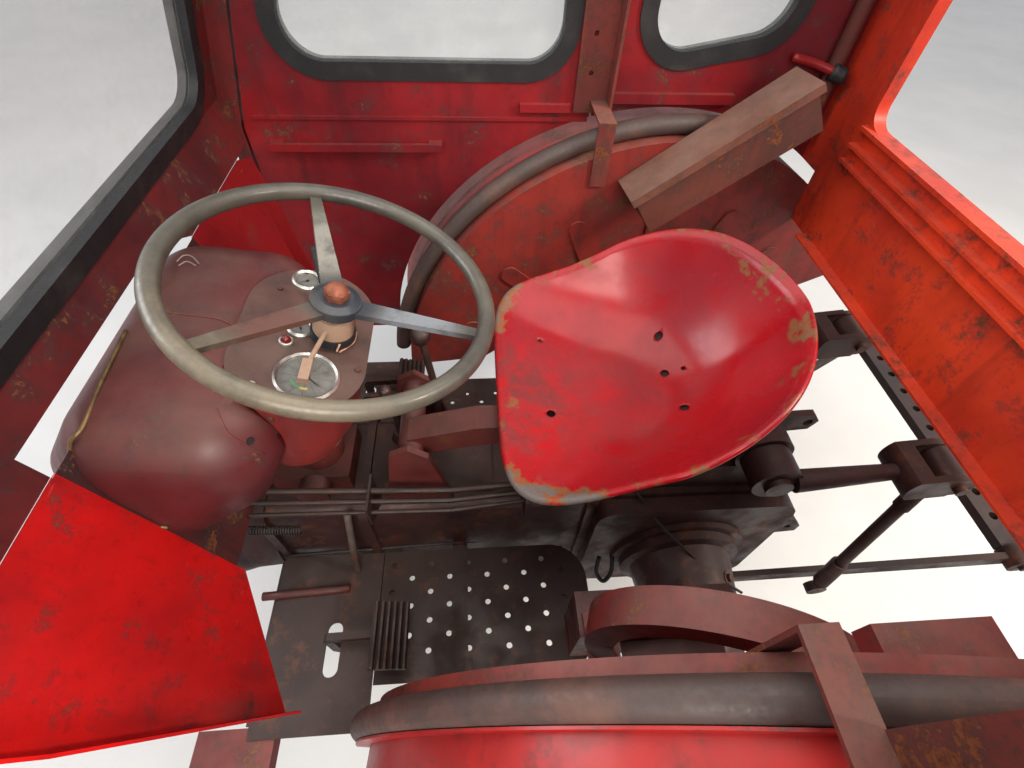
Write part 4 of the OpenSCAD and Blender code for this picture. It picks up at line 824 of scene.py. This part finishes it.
RING_WIRES = [[(177, 262), (184, 256), (192, 257), (199, 264)], [(179, 266), (187, 262), (196, 266)]]
for index, row in enumerate(RING_WIRES):
    cable(f"ring_wire_{index}", row, 0.0011, "wire_pale", SHELL, lift=0.001)
WIRE_A = [(336, 357), (340, 348), (346, 343), (351, 334)]
cable("switch_wire_a", WIRE_A, 0.0016, "wire_peach", DASH, lift=0.012)
WIRE_B = [(339, 356), (347, 351), (354, 345), (356, 336)]
cable("switch_wire_b", WIRE_B, 0.0014, "wire_peach", DASH, lift=0.009)
bolts("bracket_bolts", [(685.8, 584.1), (727.8, 578.2)], 0.009, AXLE)

# Front wall at its belt, and its lean
WALL_AT, WALL_LEAN = (-0.125, 0, 0.680), math.radians(14)
# Apron: setback, half width, lower and upper edge along the wall's plane, thickness
APRON_BACK, APRON_HALF, APRON_LOW, APRON_HIGH, APRON_T = 0.0284, 0.2355, -0.440, -0.104, 0.0012


def cowl_apron():
    """Thin sheet in the plane of the front wall that closes the gap round the narrower nose of the cowl."""
    wall = Matrix.Translation(WALL_AT) @ Matrix.Rotation(WALL_LEAN, 4, "Y")
    middle = Matrix.Translation((-APRON_BACK, 0, (APRON_LOW + APRON_HIGH) / 2))
    size = Matrix.Diagonal((APRON_T, 2 * APRON_HALF, APRON_HIGH - APRON_LOW, 1))
    bm = bmesh.new()
    bmesh.ops.create_cube(bm, size=1, matrix=wall @ middle @ size)
    finish_piece(bm, "cowl_apron", "apron")


cowl_apron()
coil("return_spring", (-0.235, 0.148, 0.205), (-0.330, 0.148, 0.195), 0.008, 20, 0.0013, "black_steel")

# Bars and cables: name, points, radius, material, parts between two points
BARS = [
    ("pedal_rod", [(-0.206, 0.208, 0.0), (-0.300, 0.204, 0.0), (-0.387, 0.200, 0.0)], 0.009,
     "casting_red", 2),
    ("brake_rod", [(-0.211, 0.123, 0.0), (-0.55, 0.112, 0.0), (-0.894, 0.101, 0.0)], 0.0045,
     "black_steel", 2),
    ("hitch_cable", [(-0.985, 0.112, 0.224), (-1.040, 0.160, 0.165), (-1.107, 0.204, 0.112),
                     (-1.160, 0.245, 0.087), (-1.205, 0.277, 0.078)], 0.003, "wire_black", 8),
    ("floor_lever", [(-0.398, 0.162, -0.006), (-0.402, 0.152, 0.060), (-0.415, 0.126, 0.205)], 0.007,
     "arm_grey", 8),
    ("chain_hook", [(-0.941, 0.160, 0.0), (-0.935, 0.185, -0.030), (-0.951, 0.200, -0.045),
                    (-0.968, 0.188, -0.030), (-0.972, 0.160, 0.0)], 0.005, "black_steel", 8),
    ("side_latch", [(-1.345, -0.576, 0.776), (-1.400, -0.574, 0.765), (-1.452, -0.556, 0.750)], 0.009,
     "bright_red", 8),
    ("latch_clamp", [(-1.432, -0.562, 0.756), (-1.446, -0.558, 0.752), (-1.458, -0.554, 0.749)], 0.017,
     "black_plastic", 2),
]
for name, points, radius, material, parts in BARS:
    tube(name, points, radius, material, steps=parts)


# Camera

camera = bpy.data.objects.new("camera", bpy.data.cameras.new("camera"))
bpy.context.collection.objects.link(camera)
camera.data.sensor_width = 36.0
camera.data.lens = FOCAL_PX / IMAGE_W * camera.data.sensor_width
camera.data.clip_start = 0.02
turn = Matrix((CAMERA_RIGHT, CAMERA_UP, -CAMERA_AHEAD)).transposed()
camera.matrix_world = Matrix.Translation(CAMERA_AT) @ turn.to_4x4()
bpy.context.scene.camera = camera


# Floor, world and lights

def pale_floor():
    s = Shader("floor")
    path = s.node("ShaderNodeLightPath")
    seen = s.math("MAXIMUM", path.outputs["Is Camera Ray"], path.outputs["Is Transmission Ray"])
    colour = s.mix(s.ramp(s.noise(1.5, 6), 0.3, 0.7), (0.62, 0.60, 0.57), (0.56, 0.545, 0.52))
    return s.finish(s.mix(seen, (0.40, 0.39, 0.38), colour), 0.85)


M["floor"] = pale_floor()
bpy.ops.mesh.primitive_plane_add(size=30, location=(-0.7, 0, GROUND_Z))
floor = bpy.context.object
floor.name = "floor"
floor.data.materials.append(M["floor"])

world = bpy.data.worlds.new("studio")
bpy.context.scene.world = world
world.use_nodes = True
background = world.node_tree.nodes["Background"]
background.inputs["Color"].default_value = (0.90, 0.93, 1.0, 1.0)
background.inputs["Strength"].default_value = 0.8


def area_light(name, at, towards, size, power, colour):
    data = bpy.data.lights.new(name, "AREA")
    data.shape, data.size, data.size_y = "RECTANGLE", size[0], size[1]
    data.energy, data.color = power, colour
    obj = bpy.data.objects.new(name, data)
    bpy.context.collection.objects.link(obj)
    obj.location = at
    obj.rotation_mode = "QUATERNION"
    obj.rotation_quaternion = (Vector(towards) - Vector(at)).to_track_quat("-Z", "Y")
    obj.visible_camera = False


area_light("under_roof", (-0.80, 0.0, 1.395), (-0.80, 0.0, 0.0), (1.1, 0.9), 10, (1.0, 0.97, 0.93))
area_light("door_side", (-0.9, 2.6, 2.3), (-0.7, 0.0, 0.5), (2.2, 1.6), 115, (1.0, 0.95, 0.88))
area_light("rear_sun", (-4.2, 1.2, 2.9), (-1.2, -0.1, 0.4), (0.9, 0.9), 190, (1.0, 0.93, 0.82))
area_light("front_fill", (2.4, -0.6, 2.4), (-0.5, 0.0, 0.6), (2.0, 1.6), 90, (0.95, 0.97, 1.0))

bpy.context.scene.view_settings.view_transform = "Standard"
